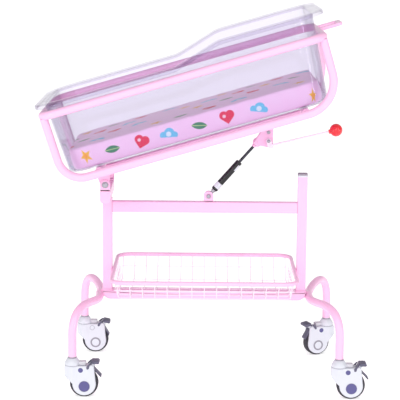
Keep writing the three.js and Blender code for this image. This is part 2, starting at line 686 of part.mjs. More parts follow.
/** Hanging plate under the foot cross tube, which turns on the hinge bolt inside its lug. */
function hingeEar(sideSign) {
  const top = CROSS_LEVEL - TUBE_R - GAP;
  const shape = new THREE.Shape();
  shape.absarc(0, 0, EAR_ROUND, Math.PI, 2 * Math.PI);
  shape.lineTo(EAR_TOP_FRONT, top);
  shape.lineTo(-EAR_TOP_BACK, top);
  const outer = sideSign * (LUG_INNER_Y - RUN_GAP);
  const inner = sideSign * (LUG_INNER_Y - RUN_GAP - EAR_THICK);
  const [y0, y1] = [Math.min(outer, inner), Math.max(outer, inner)];
  const hole = barY(0, 0, HINGE_BOLT_D + 2 * RUN_GAP, y0 - GAP, y1 + GAP);
  return cut(plate(shape, y0, y1), hole);
}

/** U-shaped push handle of flat bar on the head end of the ring. */
function pushHandle() {
  const start = RING_HEAD + TUBE_R + GAP;
  const end = start + HANDLE_REACH;
  const low = RING_LEVEL + HANDLE_RISE - HANDLE_THICK / 2;
  const high = low + HANDLE_THICK;
  const half = HANDLE_HALF_WIDTH;
  const outer = block(RING_HEAD, end, -half, half, low, high);
  const inner = block(
    RING_HEAD - GAP,
    end - HANDLE_BAR,
    HANDLE_BAR - half,
    half - HANDLE_BAR,
    low - GAP,
    high + GAP,
  );
  return cut(outer, inner, ring(GAP));
}

/** Two plates under the spine, bridged at the top, for the gas spring's upper pin and the lever's bolt. */
function leverBracket() {
  const top = SPINE_BOTTOM - GAP;
  const inside = BRACKET_INSIDE / 2;
  const outside = inside + BRACKET_THICK;
  const shape = new THREE.Shape();
  shape.moveTo(BRACKET_FRONT - BRACKET_TOP_LENGTH, top);
  shape.absarc(GAS_HEAD_X, GAS_HEAD_LEVEL, BRACKET_TIP, 0.6 * Math.PI, 1.55 * Math.PI);
  shape.lineTo(BRACKET_FRONT - BRACKET_TOE_BACK, BRACKET_TOE_LEVEL);
  shape.lineTo(BRACKET_FRONT, top);
  const room = block(
    GAS_HEAD_X - GAS_HEAD_EYE_OD,
    BRACKET_FRONT + GAS_HEAD_EYE_OD,
    -inside,
    inside,
    BRACKET_TOE_LEVEL - GAP,
    top - BRACKET_THICK,
  );
  const pin = barY(GAS_HEAD_X, GAS_HEAD_LEVEL, GAS_PIN_D + 2 * GAP, -outside - GAP, outside + GAP);
  const hole = LEVER_BOLT_D + 2 * GAP;
  const bolt = barY(BRACKET_BOLT_X, BRACKET_BOLT_LEVEL, hole, -outside - GAP, outside + GAP);
  return cut(plate(shape, -outside, outside), room, pin, bolt);
}

const BRACKET_OUTSIDE = BRACKET_INSIDE / 2 + BRACKET_THICK;

function gasHeadPin() {
  const end = BRACKET_OUTSIDE + GAS_PIN_D / 2;
  return barY(GAS_HEAD_X, GAS_HEAD_LEVEL, GAS_PIN_D, -end, end);
}

const LEVER_INNER_Y = -BRACKET_OUTSIDE - RUN_GAP;
const LEVER_OUTER_Y = LEVER_INNER_Y - LEVER_ARM;
const LEVER_ROD_Y = -POST_SIZE / 2 - LEVER_POST_ROOM - LEVER_ROD_D / 2;
const LEVER_ROOT = at(BRACKET_BOLT_X, LEVER_ROD_Y, LEVER_LEVEL);
const KNOB_CENTRE = at(KNOB_X, LEVER_ROD_Y, KNOB_LEVEL);

/** A point on the lever rod's line, at a depth into the knob. */
function towardsKnob(depth) {
  const line = KNOB_CENTRE.clone().sub(LEVER_ROOT).normalize();
  return KNOB_CENTRE.clone().addScaledVector(line, depth - KNOB_D / 2);
}

/** Bolt through both bracket plates and the lever's arm, with its head outside the arm. */
function leverBolt() {
  const seat = LEVER_OUTER_Y - RUN_GAP;
  const end = BRACKET_OUTSIDE + LEVER_BOLT_HEAD / 2;
  const shank = barY(BRACKET_BOLT_X, BRACKET_BOLT_LEVEL, LEVER_BOLT_D, seat - LEVER_BOLT_HEAD / 2, end);
  const head = barY(BRACKET_BOLT_X, BRACKET_BOLT_LEVEL, LEVER_BOLT_HEAD_D, seat - LEVER_BOLT_HEAD, seat, 6);
  return join(shank, head);
}

/** Release lever: a flat arm that turns on the bracket's bolt, and a rod out to the knob. */
function releaseLever() {
  const half = LEVER_ARM_WIDTH / 2;
  const shape = new THREE.Shape();
  shape.absarc(BRACKET_BOLT_X, BRACKET_BOLT_LEVEL, half, 0, Math.PI);
  shape.lineTo(BRACKET_BOLT_X - half, LEVER_LEVEL);
  shape.absarc(BRACKET_BOLT_X, LEVER_LEVEL, half, Math.PI, 2 * Math.PI);
  const hole = barY(
    BRACKET_BOLT_X,
    BRACKET_BOLT_LEVEL,
    LEVER_BOLT_D + 2 * RUN_GAP,
    LEVER_OUTER_Y - GAP,
    LEVER_INNER_Y + GAP,
  );
  const arm = cut(plate(shape, LEVER_OUTER_Y, LEVER_INNER_Y), hole);
  return join(arm, rod([LEVER_ROOT, towardsKnob(KNOB_SOCKET)], LEVER_ROD_D, TUBE_SIDES));
}

function leverKnob() {
  const ball = new THREE.SphereGeometry(KNOB_D / 2, 18, 12).translate(...KNOB_CENTRE.toArray());
  const socket = [towardsKnob(-KNOB_SOCKET), towardsKnob(KNOB_SOCKET + GAP)];
  return cut(ball, rod(socket, LEVER_ROD_D + 2 * GAP, TUBE_SIDES));
}

// Tub and mattress, in the cot's own frame

/** Height that the rim gains along the tub: level, then a straight ramp with rounded knees, then level. */
function rimRise(x) {
  const along = THREE.MathUtils.clamp((x - TUB_RAMP_START) / (TUB_RAMP_END - TUB_RAMP_START), 0, 1);
  const edge = Math.min(along, 1 - along);
  const knee = TUB_RAMP_KNEE;
  const climb = (edge < knee ? (edge * edge) / (2 * knee) : edge - knee / 2) / (1 - knee);
  return TUB_RIM_RISE * (along < 0.5 ? climb : 1 - climb);
}

/** Clear tub: walls that taper to the floor, a flange round the top and a turned-down lip. */
function tub() {
  const stations = spread(TUB_RAMP_START, TUB_RAMP_END, TUB_RAMP_STEPS + 1);
  const rim = (inset, drop, corner) =>
    planRing(
      TUB_RIM_FOOT + inset,
      TUB_RIM_HEAD - inset,
      TUB_RIM_HALF_WIDTH - inset,
      corner,
      (x) => TUB_RIM_LEVEL - drop + rimRise(x),
      stations,
    );
  const corner = TUB_RIM_CORNER - TUB_FLANGE;
  const base = (inset, level) =>
    planRing(
      TUB_RIM_FOOT + TUB_FLANGE + TUB_TAPER_FOOT + inset,
      TUB_RIM_HEAD - TUB_FLANGE - TUB_TAPER_HEAD - inset,
      TUB_RIM_HALF_WIDTH - TUB_FLANGE - TUB_TAPER_ACROSS - inset,
      corner - inset,
      () => level,
      stations,
    );
  const inner = TUB_FLANGE + TUB_WALL;
  const t = TUB_WALL;
  const round = TUB_FLOOR_ROUND;
  return loft([
    base(round, TUB_FLOOR),
    base(0, TUB_FLOOR + round),
    rim(TUB_FLANGE, t, corner),
    rim(t, t, TUB_RIM_CORNER - t),
    rim(t, TUB_LIP, TUB_RIM_CORNER - t),
    rim(0, TUB_LIP, TUB_RIM_CORNER),
    rim(0, 0, TUB_RIM_CORNER),
    rim(inner, 0, TUB_RIM_CORNER - inner),
    base(t, TUB_FLOOR + round),
    base(round + t, TUB_FLOOR + t),
  ]);
}

/** Crowned pad: sides drawn in between the corners and bulged at half height, top swelling to the middle. */
function mattress() {
  const low = TUB_FLOOR + TUB_WALL + GAP;
  const middle = (MATTRESS_FOOT + MATTRESS_HEAD) / 2;
  const halfLength = (MATTRESS_HEAD - MATTRESS_FOOT) / 2;
  const stations = spread(MATTRESS_FOOT + MATTRESS_CORNER, MATTRESS_HEAD - MATTRESS_CORNER, 9).slice(1, -1);
  const drawn = (shrink, level) => {
    const points = planRing(
      MATTRESS_FOOT,
      MATTRESS_HEAD,
      MATTRESS_HALF_WIDTH,
      MATTRESS_CORNER,
      () => level,
      stations,
      4,
    );
    return points.map((p) => {
      const along = (p.x - middle) / halfLength;
      const across = p.y / MATTRESS_HALF_WIDTH;
      const pullX = MATTRESS_DRAW_IN * Math.max(0, 1 - across * across) * Math.sign(along);
      const pullY = MATTRESS_DRAW_IN * Math.max(0, 1 - along * along) * Math.sign(across);
      const keepX = 1 - shrink / halfLength;
      const keepY = 1 - shrink / MATTRESS_HALF_WIDTH;
      return at(middle + (p.x - middle - pullX) * keepX, (p.y - pullY) * keepY, p.z);
    });
  };
  const bulge = MATTRESS_SIDE_BULGE;
  const edge = low + MATTRESS_EDGE;
  const side = [
    drawn(4 * bulge, low),
    drawn(bulge, low + MATTRESS_EDGE / 6),
    drawn(0, low + MATTRESS_EDGE / 2),
    drawn(bulge, edge - MATTRESS_EDGE / 6),
    drawn(4 * bulge, edge),
  ];
  const crown = [0.25, 0.5, 0.75, 0.95].map((share) => {
    const shrink = 4 * bulge + share * (MATTRESS_HALF_WIDTH - 4 * bulge);
    return drawn(shrink, edge + MATTRESS_CROWN * Math.sin((share * Math.PI) / 2));
  });
  return loft([...side, ...crown]);
}

// Gas spring, built along +X from its lower pivot

const gasHead = at(GAS_HEAD_X, 0, GAS_HEAD_LEVEL).applyAxisAngle(at(0, 1, 0), -TILT);
const gasSpan = gasHead.add(at(HINGE_X - GAS_FOOT_X, 0, HINGE_Z - GAS_FOOT_Z));
const GAS_LENGTH = gasSpan.length();
const GAS_ANGLE = Math.atan2(gasSpan.z, gasSpan.x);

/** A round bar along X from x0 to x1. */
function barX(x0, x1, diameter, sides = 16) {
  const geometry = new THREE.CylinderGeometry(diameter / 2, diameter / 2, x1 - x0, sides);
  return geometry.rotateZ(-Math.PI / 2).translate((x0 + x1) / 2, 0, 0);
}

/** Pressure tube with its lower eye and neck; the bore for the rod is open at the top. */
function gasCylinder() {
  const half = GAS_EYE_THICK / 2;
  const eye = barY(0, 0, GAS_EYE_OD, -half, half, 20);
  const neck = barX(0, GAS_TUBE_START + GAP, GAS_EYE_THICK);
  const tube = barX(GAS_TUBE_START, GAS_TUBE_END, GAS_TUBE_OD, 20);
  const bore = barX(GAS_TUBE_START + GAS_BASE, GAS_TUBE_END + GAP, GAS_BORE_D, 20);
  const hole = barY(0, 0, GAS_PIN_D + 2 * RUN_GAP, -half - GAP, half + GAP);
  return cut(join(eye, neck, tube), bore, hole);
}

/** Piston rod with a collar and an eye that turns with play on the bracket's pin. */
function gasRod() {
  const half = GAS_EYE_THICK / 2;
  const outer = GAS_HEAD_EYE_OD / 2;
  const tail = GAS_TUBE_START + GAS_BASE + GAS_TAIL_ROOM + GAS_STROKE;
  const shaft = barX(tail, GAS_LENGTH - outer + half, GAS_ROD_D);
  const collar = barX(GAS_LENGTH - outer - half, GAS_LENGTH - outer + half / 2, GAS_ROD_D + half);
  const eye = barY(GAS_LENGTH, 0, GAS_HEAD_EYE_OD, -half, half, 20);
  const hole = barY(GAS_LENGTH, 0, GAS_PIN_D + 2 * GAS_HEAD_PLAY, -half - GAP, half + GAP, 20);
  return cut(join(shaft, collar, eye), hole);
}

// Casters, each about its stem, with the wheel trailing along +X

/** Hood: two teardrop covers bridged over the wheel, with a domed cup for the stem and a block behind it. */
function casterHood() {
  const axleX = CASTER_TRAIL;
  const lobeX = axleX + COVER_LOBE_BACK;
  const lobeZ = WHEEL_R - COVER_LOBE_DROP;
  const domeR = DOME_FOOT_D / 2;
  const crest = CASTER_TOP - DOME_HEIGHT;
  const brow = PEDAL_PIVOT_X - PEDAL_EYE_D;
  const earR = PEDAL_EYE_D / 2 + COVER_THICK / 2;
  const shape = new THREE.Shape();
  shape.moveTo(-domeR, crest);
  shape.lineTo(-domeR, PEDAL_PIVOT_Z - domeR);
  shape.quadraticCurveTo(-domeR, lobeZ + domeR, lobeX - COVER_LOBE_R, lobeZ);
  shape.absarc(lobeX, lobeZ, COVER_LOBE_R, Math.PI, 2.08 * Math.PI);
  shape.lineTo(PEDAL_PIVOT_X + earR, PEDAL_PIVOT_Z - earR);
  shape.absarc(PEDAL_PIVOT_X, PEDAL_PIVOT_Z, earR, 0, 0.5 * Math.PI);
  shape.lineTo(brow, crest);
  const body = plate(shape, -HOOD_HALF_WIDTH, HOOD_HALF_WIDTH, 8);
  const shoulder = crest + DOME_UPRIGHT;
  const cup = barZ(0, 0, crest - GAP, shoulder, DOME_FOOT_D, DOME_FOOT_D, 24);
  const dome = barZ(0, 0, shoulder, CASTER_TOP, DOME_FOOT_D, DOME_TOP_D, 24);
  const backBlock = block(
    HOOD_BLOCK_START,
    HOOD_BLOCK_END,
    -HOOD_BLOCK_WIDTH / 2,
    HOOD_BLOCK_WIDTH / 2,
    crest - GAP,
    crest + HOOD_BLOCK_HEIGHT,
  );
  const inside = HOOD_HALF_INSIDE;
  const wheelRoom = barY(axleX, WHEEL_R, WHEEL_D + 2 * WHEEL_ROOM, -inside, inside, WHEEL_FACETS);
  const below = block(-WHEEL_D, 2 * WHEEL_D, -inside, inside, -WHEEL_R, WHEEL_R);
  const pedalRoom = block(
    brow + COVER_THICK,
    2 * WHEEL_D,
    -inside,
    inside,
    WHEEL_R,
    CASTER_TOP,
  );
  const stemBore = barZ(0, 0, CASTER_TOP - STEM_LENGTH - RUN_GAP, CASTER_TOP + GAP, STEM_D + 2 * RUN_GAP);
  const axleHole = barY(axleX, WHEEL_R, AXLE_D + 2 * GAP, -HOOD_HALF_WIDTH - GAP, HOOD_HALF_WIDTH + GAP);
  const pinHole = barY(
    PEDAL_PIVOT_X,
    PEDAL_PIVOT_Z,
    PEDAL_PIN_D + 2 * RUN_GAP,
    -HOOD_HALF_WIDTH - GAP,
    HOOD_HALF_WIDTH + GAP,
  );
  const whole = join(body, cup, dome, backBlock);
  return cut(whole, wheelRoom, below, pedalRoom, stemBore, axleHole, pinHole);
}

/** A body of revolution about the wheel's axle, with a facet flat on the floor. */
function turned(profile) {
  const points = profile.map(([r, y]) => new THREE.Vector2(r, y));
  points.push(points[0].clone());
  const turn = Math.PI / WHEEL_FACETS;
  return new THREE.LatheGeometry(points, WHEEL_FACETS).rotateY(turn).translate(CASTER_TRAIL, 0, WHEEL_R);
}

/** Tread and chamfered shoulders; the facets' middles are one wheel radius from the axle. */
function tyre() {
  const outer = WHEEL_R / Math.cos(Math.PI / WHEEL_FACETS);
  const inner = WHEEL_R - TYRE_DEPTH;
  const half = TYRE_WIDTH / 2;
  return turned([
    [inner, -half],
    [outer - TYRE_CROWN, -half],
    [outer, TYRE_CROWN - half],
    [outer, half - TYRE_CROWN],
    [outer - TYRE_CROWN, half],
    [inner, half],
  ]);
}

function wheelHub() {
  const outer = WHEEL_R - TYRE_DEPTH - GAP;
  const bore = HUB_BORE_D / 2;
  const half = TYRE_WIDTH / 2;
  const web = half / 2;
  return turned([
    [bore, -half],
    [outer / 2, -half],
    [outer / 2, -web],
    [outer - GAP, -web],
    [outer, -half],
    [outer, half],
    [outer - GAP, web],
    [outer / 2, web],
    [outer / 2, half],
    [bore, half],
  ]);
}

function axle() {
  const end = HOOD_HALF_WIDTH - GAP;
  return barY(CASTER_TRAIL, WHEEL_R, AXLE_D, -end, end);
}

/** Brake pedal: a pad behind the hood, a tab down to the tread, and a pin through the hood's ears. */
function brakePedal(pressedDeg) {
  const web = HOOD_HALF_INSIDE - SIDE_GAP;
  const pad = PEDAL_PAD_WIDTH / 2;
  const hood = HOOD_HALF_WIDTH - GAP;
  const [px, pz] = [PEDAL_PIVOT_X, PEDAL_PIVOT_Z];
  const eye = barY(px, pz, PEDAL_EYE_D, -web, web, 20);
  const pin = barY(px, pz, PEDAL_PIN_D, -hood, hood);
  const round = PEDAL_EYE_D / 2;
  const thick = PEDAL_TAB_THICK;
  const [end, drop, knee] = [PEDAL_TAB_END, PEDAL_TAB_DROP, PEDAL_TAB_KNEE];
  const arm = plate(
    outline([
      [px - round / 2, pz],
      [px + round, pz],
      [px + PEDAL_PAD_END - thick, pz + PEDAL_PAD_UNDER],
      [px + PEDAL_PAD_END - thick, pz + PEDAL_PAD_TOP - GAP],
      [px + PEDAL_PAD_START, pz + PEDAL_PAD_TOP - GAP],
    ]),
    -web,
    web,
  );
  const tread = plate(
    outline([
      [px + thick, pz + PEDAL_PAD_UNDER],
      [px + PEDAL_PAD_END - thick / 2, pz + PEDAL_PAD_UNDER],
      [px + PEDAL_PAD_END, pz + PEDAL_PAD_TOP - thick],
      [px + PEDAL_PAD_END - thick / 2, pz + PEDAL_PAD_TOP],
      [px + PEDAL_PAD_START, pz + PEDAL_PAD_TOP],
    ]),
    -pad,
    pad,
  );
  const tab = plate(
    outline([
      [px, pz - round / 2],
      [px + knee, pz - knee],
      [px + end - thick, pz - drop + thick],
      [px + end, pz - drop],
      [px + end, pz - drop + thick],
      [px + round, pz],
    ]),
    -web,
    web,
  );
  const pedal = join(eye, pin, arm, tread, tab).translate(-px, 0, -pz);
  return pedal.rotateY(THREE.MathUtils.degToRad(pressedDeg)).translate(px, 0, pz);
}

// Assembly

const base = new THREE.Group();
base.add(
  piece("lower_beam", lowBeam(), PINK),
  piece("foot_post", post(FOOT_POST_X, HINGE_TUBE_Z - GAP), PINK),
  piece("head_post", post(HEAD_POST_X, PAD_TOP - PAD_HEIGHT - GAP), PINK),
  piece("upper_beam", highBeam(), PINK),
  piece("hinge_tube", hingeTube(), PINK),
  piece("rest_pad", restPad(), STEEL, 0.7),
  piece("gas_clevis", gasClevis(), PINK),
  piece("gas_foot_pin", gasFootPin(), STEEL, 0.35, 0.9),
  piece("basket_rim", basketRim(), PINK),
  piece("basket_floor", basketFloor(), PINK),
  piece("basket_foot_wall", basketEndWall(-1), PINK),
  piece("basket_head_wall", basketEndWall(1), PINK),
);

const cot = new THREE.Group();
cot.position.set(HINGE_X, 0, HINGE_Z);
cot.rotation.y = -TILT;
cot.add(
  piece("cot_ring", ring(), PINK),
  piece("foot_cross_tube", crossTube(FOOT_CROSS_X), PINK),
  piece("head_cross_tube", crossTube(HEAD_CROSS_X), PINK),
  piece("cot_spine", spine(), PINK),
  piece("push_handle", pushHandle(), PINK),
  piece("lever_bracket", leverBracket(), PINK),
  piece("gas_head_pin", gasHeadPin(), STEEL, 0.35, 0.9),
  piece("lever_bolt", leverBolt(), STEEL, 0.35, 0.9),
  piece("release_lever", releaseLever(), PINK),
  piece("lever_knob", leverKnob(), RED, 0.25),
  piece("tub", tub(), CLEAR, 0.08),
  piece("mattress", mattress(), MATTRESS_PINK, 0.5),
);

const sides = [
  { side: "near", sign: -1 },
  { side: "far", sign: 1 },
];
sides.forEach(({ side, sign }) => {
  base.add(
    piece(`hinge_lug_${side}`, hingeLug(sign), PINK),
    piece(`hinge_bolt_${side}`, hingeBolt(sign), STEEL, 0.35, 0.9),
    piece(`basket_${side}_wall`, basketSideWall(sign), PINK),
    piece(`leg_foot_${side}`, leg(-1, sign), PINK),
    piece(`leg_head_${side}`, leg(1, sign), PINK),
  );
  cot.add(
    piece(`cot_hoop_${side}`, hoop(sign), PINK),
    piece(`hinge_ear_${side}`, hingeEar(sign), PINK),
  );
});

const gas = new THREE.Group();
gas.position.set(GAS_FOOT_X, 0, GAS_FOOT_Z);
gas.rotation.y = -GAS_ANGLE;
gas.add(piece("gas_cylinder", gasCylinder(), BLACK, 0.3), piece("gas_rod", gasRod(), ROD_GREY, 0.3, 0.8));

// Casters: the far head one trails another way, and both far ones have their brakes on
const casters = [
  { at: "foot_near", end: -1, side: -1, turn: 0, pressed: 0 },
  { at: "head_near", end: 1, side: -1, turn: 0, pressed: 0 },
  { at: "foot_far", end: -1, side: 1, turn: 0, pressed: PEDAL_PRESS_DEG },
  { at: "head_far", end: 1, side: 1, turn: FAR_HEAD_TURN_DEG, pressed: PEDAL_PRESS_DEG },
].map((spot) => {
  const caster = new THREE.Group();
  caster.position.set(spot.end * STEM_X, spot.side * STEM_Y, 0);
  caster.rotation.z = THREE.MathUtils.degToRad(spot.turn);
  return caster.add(
    piece(`caster_hood_${spot.at}`, casterHood(), WHITE, 0.35),
    piece(`caster_axle_${spot.at}`, axle(), STEEL, 0.35, 0.9),
    piece(`wheel_hub_${spot.at}`, wheelHub(), WHITE, 0.4),
    piece(`tyre_${spot.at}`, tyre(), TYRE_GREY, 0.8),
    piece(`brake_pedal_${spot.at}`, brakePedal(spot.pressed), PEDAL_GREY, 0.5),
  );
});

const bassinet = new THREE.Group();
bassinet.add(base, cot, gas, ...casters);

// The origin is on the floor, under the middle of the whole object
bassinet.updateMatrixWorld(true);
const whole = new THREE.Box3().setFromObject(bassinet, true).getCenter(new THREE.Vector3());
[base, cot, gas, ...casters].forEach((group) => group.position.sub(at(whole.x, whole.y, 0)));

export default bassinet;
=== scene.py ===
"""Looks of a tilting hospital bassinet: pink powder-coated tube, a clear tub, a printed mattress,
a wire basket and white casters. Metres, +Z up, +X to the head end, -Y to the near side."""
import json
import math

import bmesh
import bpy
import numpy as np
from mathutils import Matrix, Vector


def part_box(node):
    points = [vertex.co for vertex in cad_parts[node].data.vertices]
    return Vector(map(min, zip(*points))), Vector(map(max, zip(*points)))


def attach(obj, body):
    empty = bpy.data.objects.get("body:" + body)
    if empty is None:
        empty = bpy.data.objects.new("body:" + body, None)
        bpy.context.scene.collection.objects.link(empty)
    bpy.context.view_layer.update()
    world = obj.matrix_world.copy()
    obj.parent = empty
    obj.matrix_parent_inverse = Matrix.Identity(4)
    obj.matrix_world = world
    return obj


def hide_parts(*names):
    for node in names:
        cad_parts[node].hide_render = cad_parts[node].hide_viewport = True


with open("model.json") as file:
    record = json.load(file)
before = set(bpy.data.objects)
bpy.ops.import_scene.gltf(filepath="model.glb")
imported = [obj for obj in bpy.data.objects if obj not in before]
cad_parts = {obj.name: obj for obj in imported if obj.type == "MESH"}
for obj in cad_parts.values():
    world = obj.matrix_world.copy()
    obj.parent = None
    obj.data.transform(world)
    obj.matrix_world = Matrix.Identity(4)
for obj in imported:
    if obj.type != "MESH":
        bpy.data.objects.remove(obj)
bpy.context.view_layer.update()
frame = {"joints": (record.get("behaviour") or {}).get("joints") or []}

JOINTS = {joint["name"]: joint for joint in frame["joints"]}
CORNERS = ("foot_near", "head_near", "foot_far", "head_far")
SIDES = (("near", -1), ("far", 1))
ENDS = (("foot", -1), ("head", 1))
ACROSS = (0, 1, 0)
UPWARDS = (0, 0, 1)

# Places that the frame gives
HINGE = np.array(JOINTS["cot_tilt"]["pos_m"])
TILT = math.radians(-JOINTS["cot_tilt"]["range_deg"][0])
GAS_FOOT = np.array(JOINTS["gas_cylinder_swing"]["pos_m"])
GAS_LINE = np.array(JOINTS["gas_rod_slide"]["axis"])
LEVER_PIVOT = np.array(JOINTS["lever_pull"]["pos_m"])
STEMS = {c: np.array(JOINTS[f"swivel_{c}"]["pos_m"]) for c in CORNERS}
MIDDLE_X = (STEMS["foot_near"][0] + STEMS["head_near"][0]) / 2
MIDDLE_Y = HINGE[1]

# Tube and lower frame. Turned profiles, here and below, are (radius, distance along the axis)
TUBE_D = 0.022
PLATE_EDGE = 0.0008
POST_CORNER = 0.003
WELD_D = 0.005
POST_WELD, POST_WELD_CORNER, POST_WELD_LIFT = 0.027, 0.004, 0.0005
BEAM_ROUND = 0.022
BEAM_TOP_ROUND = 0.003
BEAM_EDGE = 0.0012
BEAM_POINTS = 900
HINGE_TUBE_ROUND = 0.009
POST_CAP_SIDE, POST_CAP_CORNER = 0.0268, 0.003
POST_CAP_BELOW = (0.0055, 0.0006)
PAD_SIDE, PAD_CORNER, PAD_BELOW = 0.0262, 0.004, 0.0010
LEG_ROOT_Z = 0.226
LEG_SHOULDER_IN = (0.071, 0.129)
LEG_SHOULDER_Z = 0.207
LEG_KNEE_Z = 0.282
LEG_STRAIGHT_Z = 0.159
LEG_FOOT_Z = 0.104
LEG_GAP = 0.0003
LEG_SEAM = 0.0001
LEG_WELD_STEP, LEG_WELD_HALF = 0.006, 0.016
LEG_COLLAR = ((0.0100, 0), (0.0114, 0.0003), (0.0116, 0.0008), (0.0116, 0.0026), (0.0112, 0.0032),
              (0.0100, 0.0033))

# Hinge. Bolts are (width, height, shank)
LUG_THICK, LUG_FOOT = 0.005, 0.004
LUG_TOP = 0.013
HINGE_BOLT = (0.013, 0.0045, 0.012)
HINGE_BOLT_OUT = 0.0015
EAR_Y = (0.0895, 0.0945)
EAR_R = 0.012
EAR_TOP_X = (0.026, -0.016)

# Cot, in its own frame: origin on the hinge axis, X to the head, Z square to the tub's floor
RING_FOOT, RING_HEAD = -0.095, 0.656
RING_HALF = 0.226
RING_LEVEL = 0.230
RING_CORNER = 0.038
HOOP_Y = 0.205
HOOP_LEVEL = 0.0475
HOOP_TAPER_FOOT, HOOP_TAPER_HEAD = 0.0077, 0.002
HOOP_BEND_FOOT, HOOP_BEND_HEAD = 0.062, 0.086
HOOP_END_IN, HOOP_END_DROP = 0.0025, 0.007
CROSS_LEVEL = 0.0507
CROSS_X = {"foot": 0.005, "head": 0.562}
CROSS_SHORT = 0.010
SPINE_PAST, SPINE_LEVEL = 0.014, 0.0304
SPINE_WIDTH, SPINE_HEIGHT, SPINE_CORNER = 0.030, 0.018, 0.0025
HANDLE_HALF = 0.054
HANDLE_START, HANDLE_END = 0.660, 0.7223
HANDLE_BAR = 0.014
HANDLE_THICK = 0.009
HANDLE_LEVEL = 0.237
HANDLE_BEND, HANDLE_CORNER = 0.008, 0.002

# Tub
RIM_FOOT, RIM_HEAD = -0.111, 0.674
RIM_HALF = 0.243
RIM_CORNER = 0.080
RIM_LEVEL = 0.260
RIM_RISE = 0.037
RAMP_START, RAMP_END = 0.256, 0.405
RAMP_KNEE = 0.15
FLANGE = 0.028
LIP = 0.012
LIP_INSIDE, LIP_OUTSIDE = 0.002, 0.0025
WALL = 0.004
TAPER_FOOT, TAPER_HEAD, TAPER_SIDES = 0.008, 0.017, 0.024
FLOOR_LEVEL = 0.062
FLOOR_ROUND = 0.015
FLANGE_ROUND = 0.006

# Mattress
MATTRESS_FOOT, MATTRESS_HEAD = -0.063, 0.617
MATTRESS_HALF = 0.179
MATTRESS_CORNER = 0.048
MATTRESS_LOW = 0.0664
MATTRESS_EDGE = 0.057
MATTRESS_CROWN = 0.004
MATTRESS_ROUND = 0.007
MATTRESS_DRAW = 0.004
MATTRESS_BULGE = 0.0015
RIPPLE = 0.0006
RIPPLE_BAND, RIPPLE_REACH = 0.02, 0.06
PRINT_CELL = 0.078
PRINT_MAP = "unfolded"

# Basket
RIM_WIRE_D = 0.011
RIM_WIRE_Z = 0.297
RIM_WIRE_HALF = 0.190
RIM_WIRE_BEND = 0.040
WIRE_D = 0.0022
WIRE_SIDES = 10
BASKET_MIDDLE = MIDDLE_X - 0.0055
BASKET_HALF_LENGTH = 0.2467
FLOOR_HALF_LENGTH = 0.2307
FLOOR_HALF_WIDTH = 0.122
FLOOR_MARGIN = 0.006
CROSS_WIRE_Z = 0.2418
LONG_WIRE_Z = 0.2398
CROSS_WIRES, LONG_WIRES = 15, 7
WIRE_BEND = 0.008
CROSS_WIRE_IN, CORNER_WIRE_IN, LONG_WIRE_IN = 0.004, 0.012, 0.003
SIDE_WIRE_PAST = 0.006
END_WIRE_OUT, END_WIRE_PAST = 0.008, 0.03

# Gas spring, with distances along it from its lower eye; the eyes' profiles are halves
GAS_TUBE = ((0.0055, 0.0222), (0.0078, 0.0225), (0.0090, 0.0240), (0.0090, 0.1235), (0.0082, 0.1258),
            (0.0048, 0.1260), (0.0048, 0.1180))
GAS_BAND = ((0.0088, 0.030), (0.00925, 0.0302), (0.00925, 0.0468), (0.0088, 0.047))
GAS_PATCH = np.array(((0.0088, 0.098), (0.0092, 0.0984), (0.0092, 0.1176), (0.0088, 0.118)))
GAS_PATCH_DEG = (24, 110)
GAS_NECK = ((0.004, 0.006), (0.0045, 0.007), (0.0045, 0.0175), (0.0065, 0.018), (0.0065, 0.0224),
            (0.004, 0.0226))
GAS_EYE = ((0.0036, -0.0038), (0.0072, -0.004), (0.008, -0.0032))
GAS_ROD = ((0.0034, 0.0892), (0.004, 0.0900), (0.004, 0.1840), (0.0034, 0.1845))
ROD_COLLAR = ((0.0050, 0.1815), (0.0060, 0.1820), (0.0060, 0.1870), (0.0050, 0.1875))
ROD_EYE = ((0.0092, -0.0038), (0.0118, -0.004), (0.0125, -0.0034))
GAS_LENGTH = 0.19778
CLEVIS_CHEEK, CLEVIS_FOOT, CLEVIS_CORNER = 0.004, 0.003, 0.0006
FOOT_PIN_OUT = 0.0012
FOOT_PIN = ((0.0028, -0.002), (0.003, 0), (0.003, 0.0225), (0.0026, 0.0235))
FOOT_PIN_HEAD = ((0.002, -0.0042), (0.0048, -0.0040), (0.0058, -0.003), (0.006, 0))

# Release lever and its bracket, in the cot's frame
BRACKET_TIP = np.array([0.420, -0.014])
BRACKET_TIP_R = 0.009
BRACKET_TOP_X = (0.450, 0.475)
BRACKET_TOP = 0.0211
BRACKET_HEEL = (0.456, -0.040)
BRACKET_PLATE = 0.004
BRACKET_PLATE_Y = (-0.011, 0.007)
BRACKET_BRIDGE = 0.022
HEAD_PIN = ((0.0020, -0.0118), (0.0028, -0.0115), (0.0030, -0.0108))
LEVER_BOLT = (0.0072, 0.003, 0.033)
LEVER_BOLT_Y = -0.0212
BRACKET_BOLT = (0.0072, 0.003, 0.024)
BRACKET_BOLT_AT = (0.4567, -0.0122, 0.0048)
LEVER_Y = -0.019
LEVER_ROOT = -0.030
LEVER_BALL = np.array([0.633, LEVER_Y, -0.038])
LEVER_ARM_R, LEVER_ARM_Y = 0.007, (-0.0195, -0.0115)
LEVER_ROD_D, LEVER_ROD_SHORT = 0.006, 0.0085
KNOB_R = 0.0175
KNOB_NECK = ((0.0042, -0.0205), (0.0058, -0.0202), (0.0062, -0.0165))

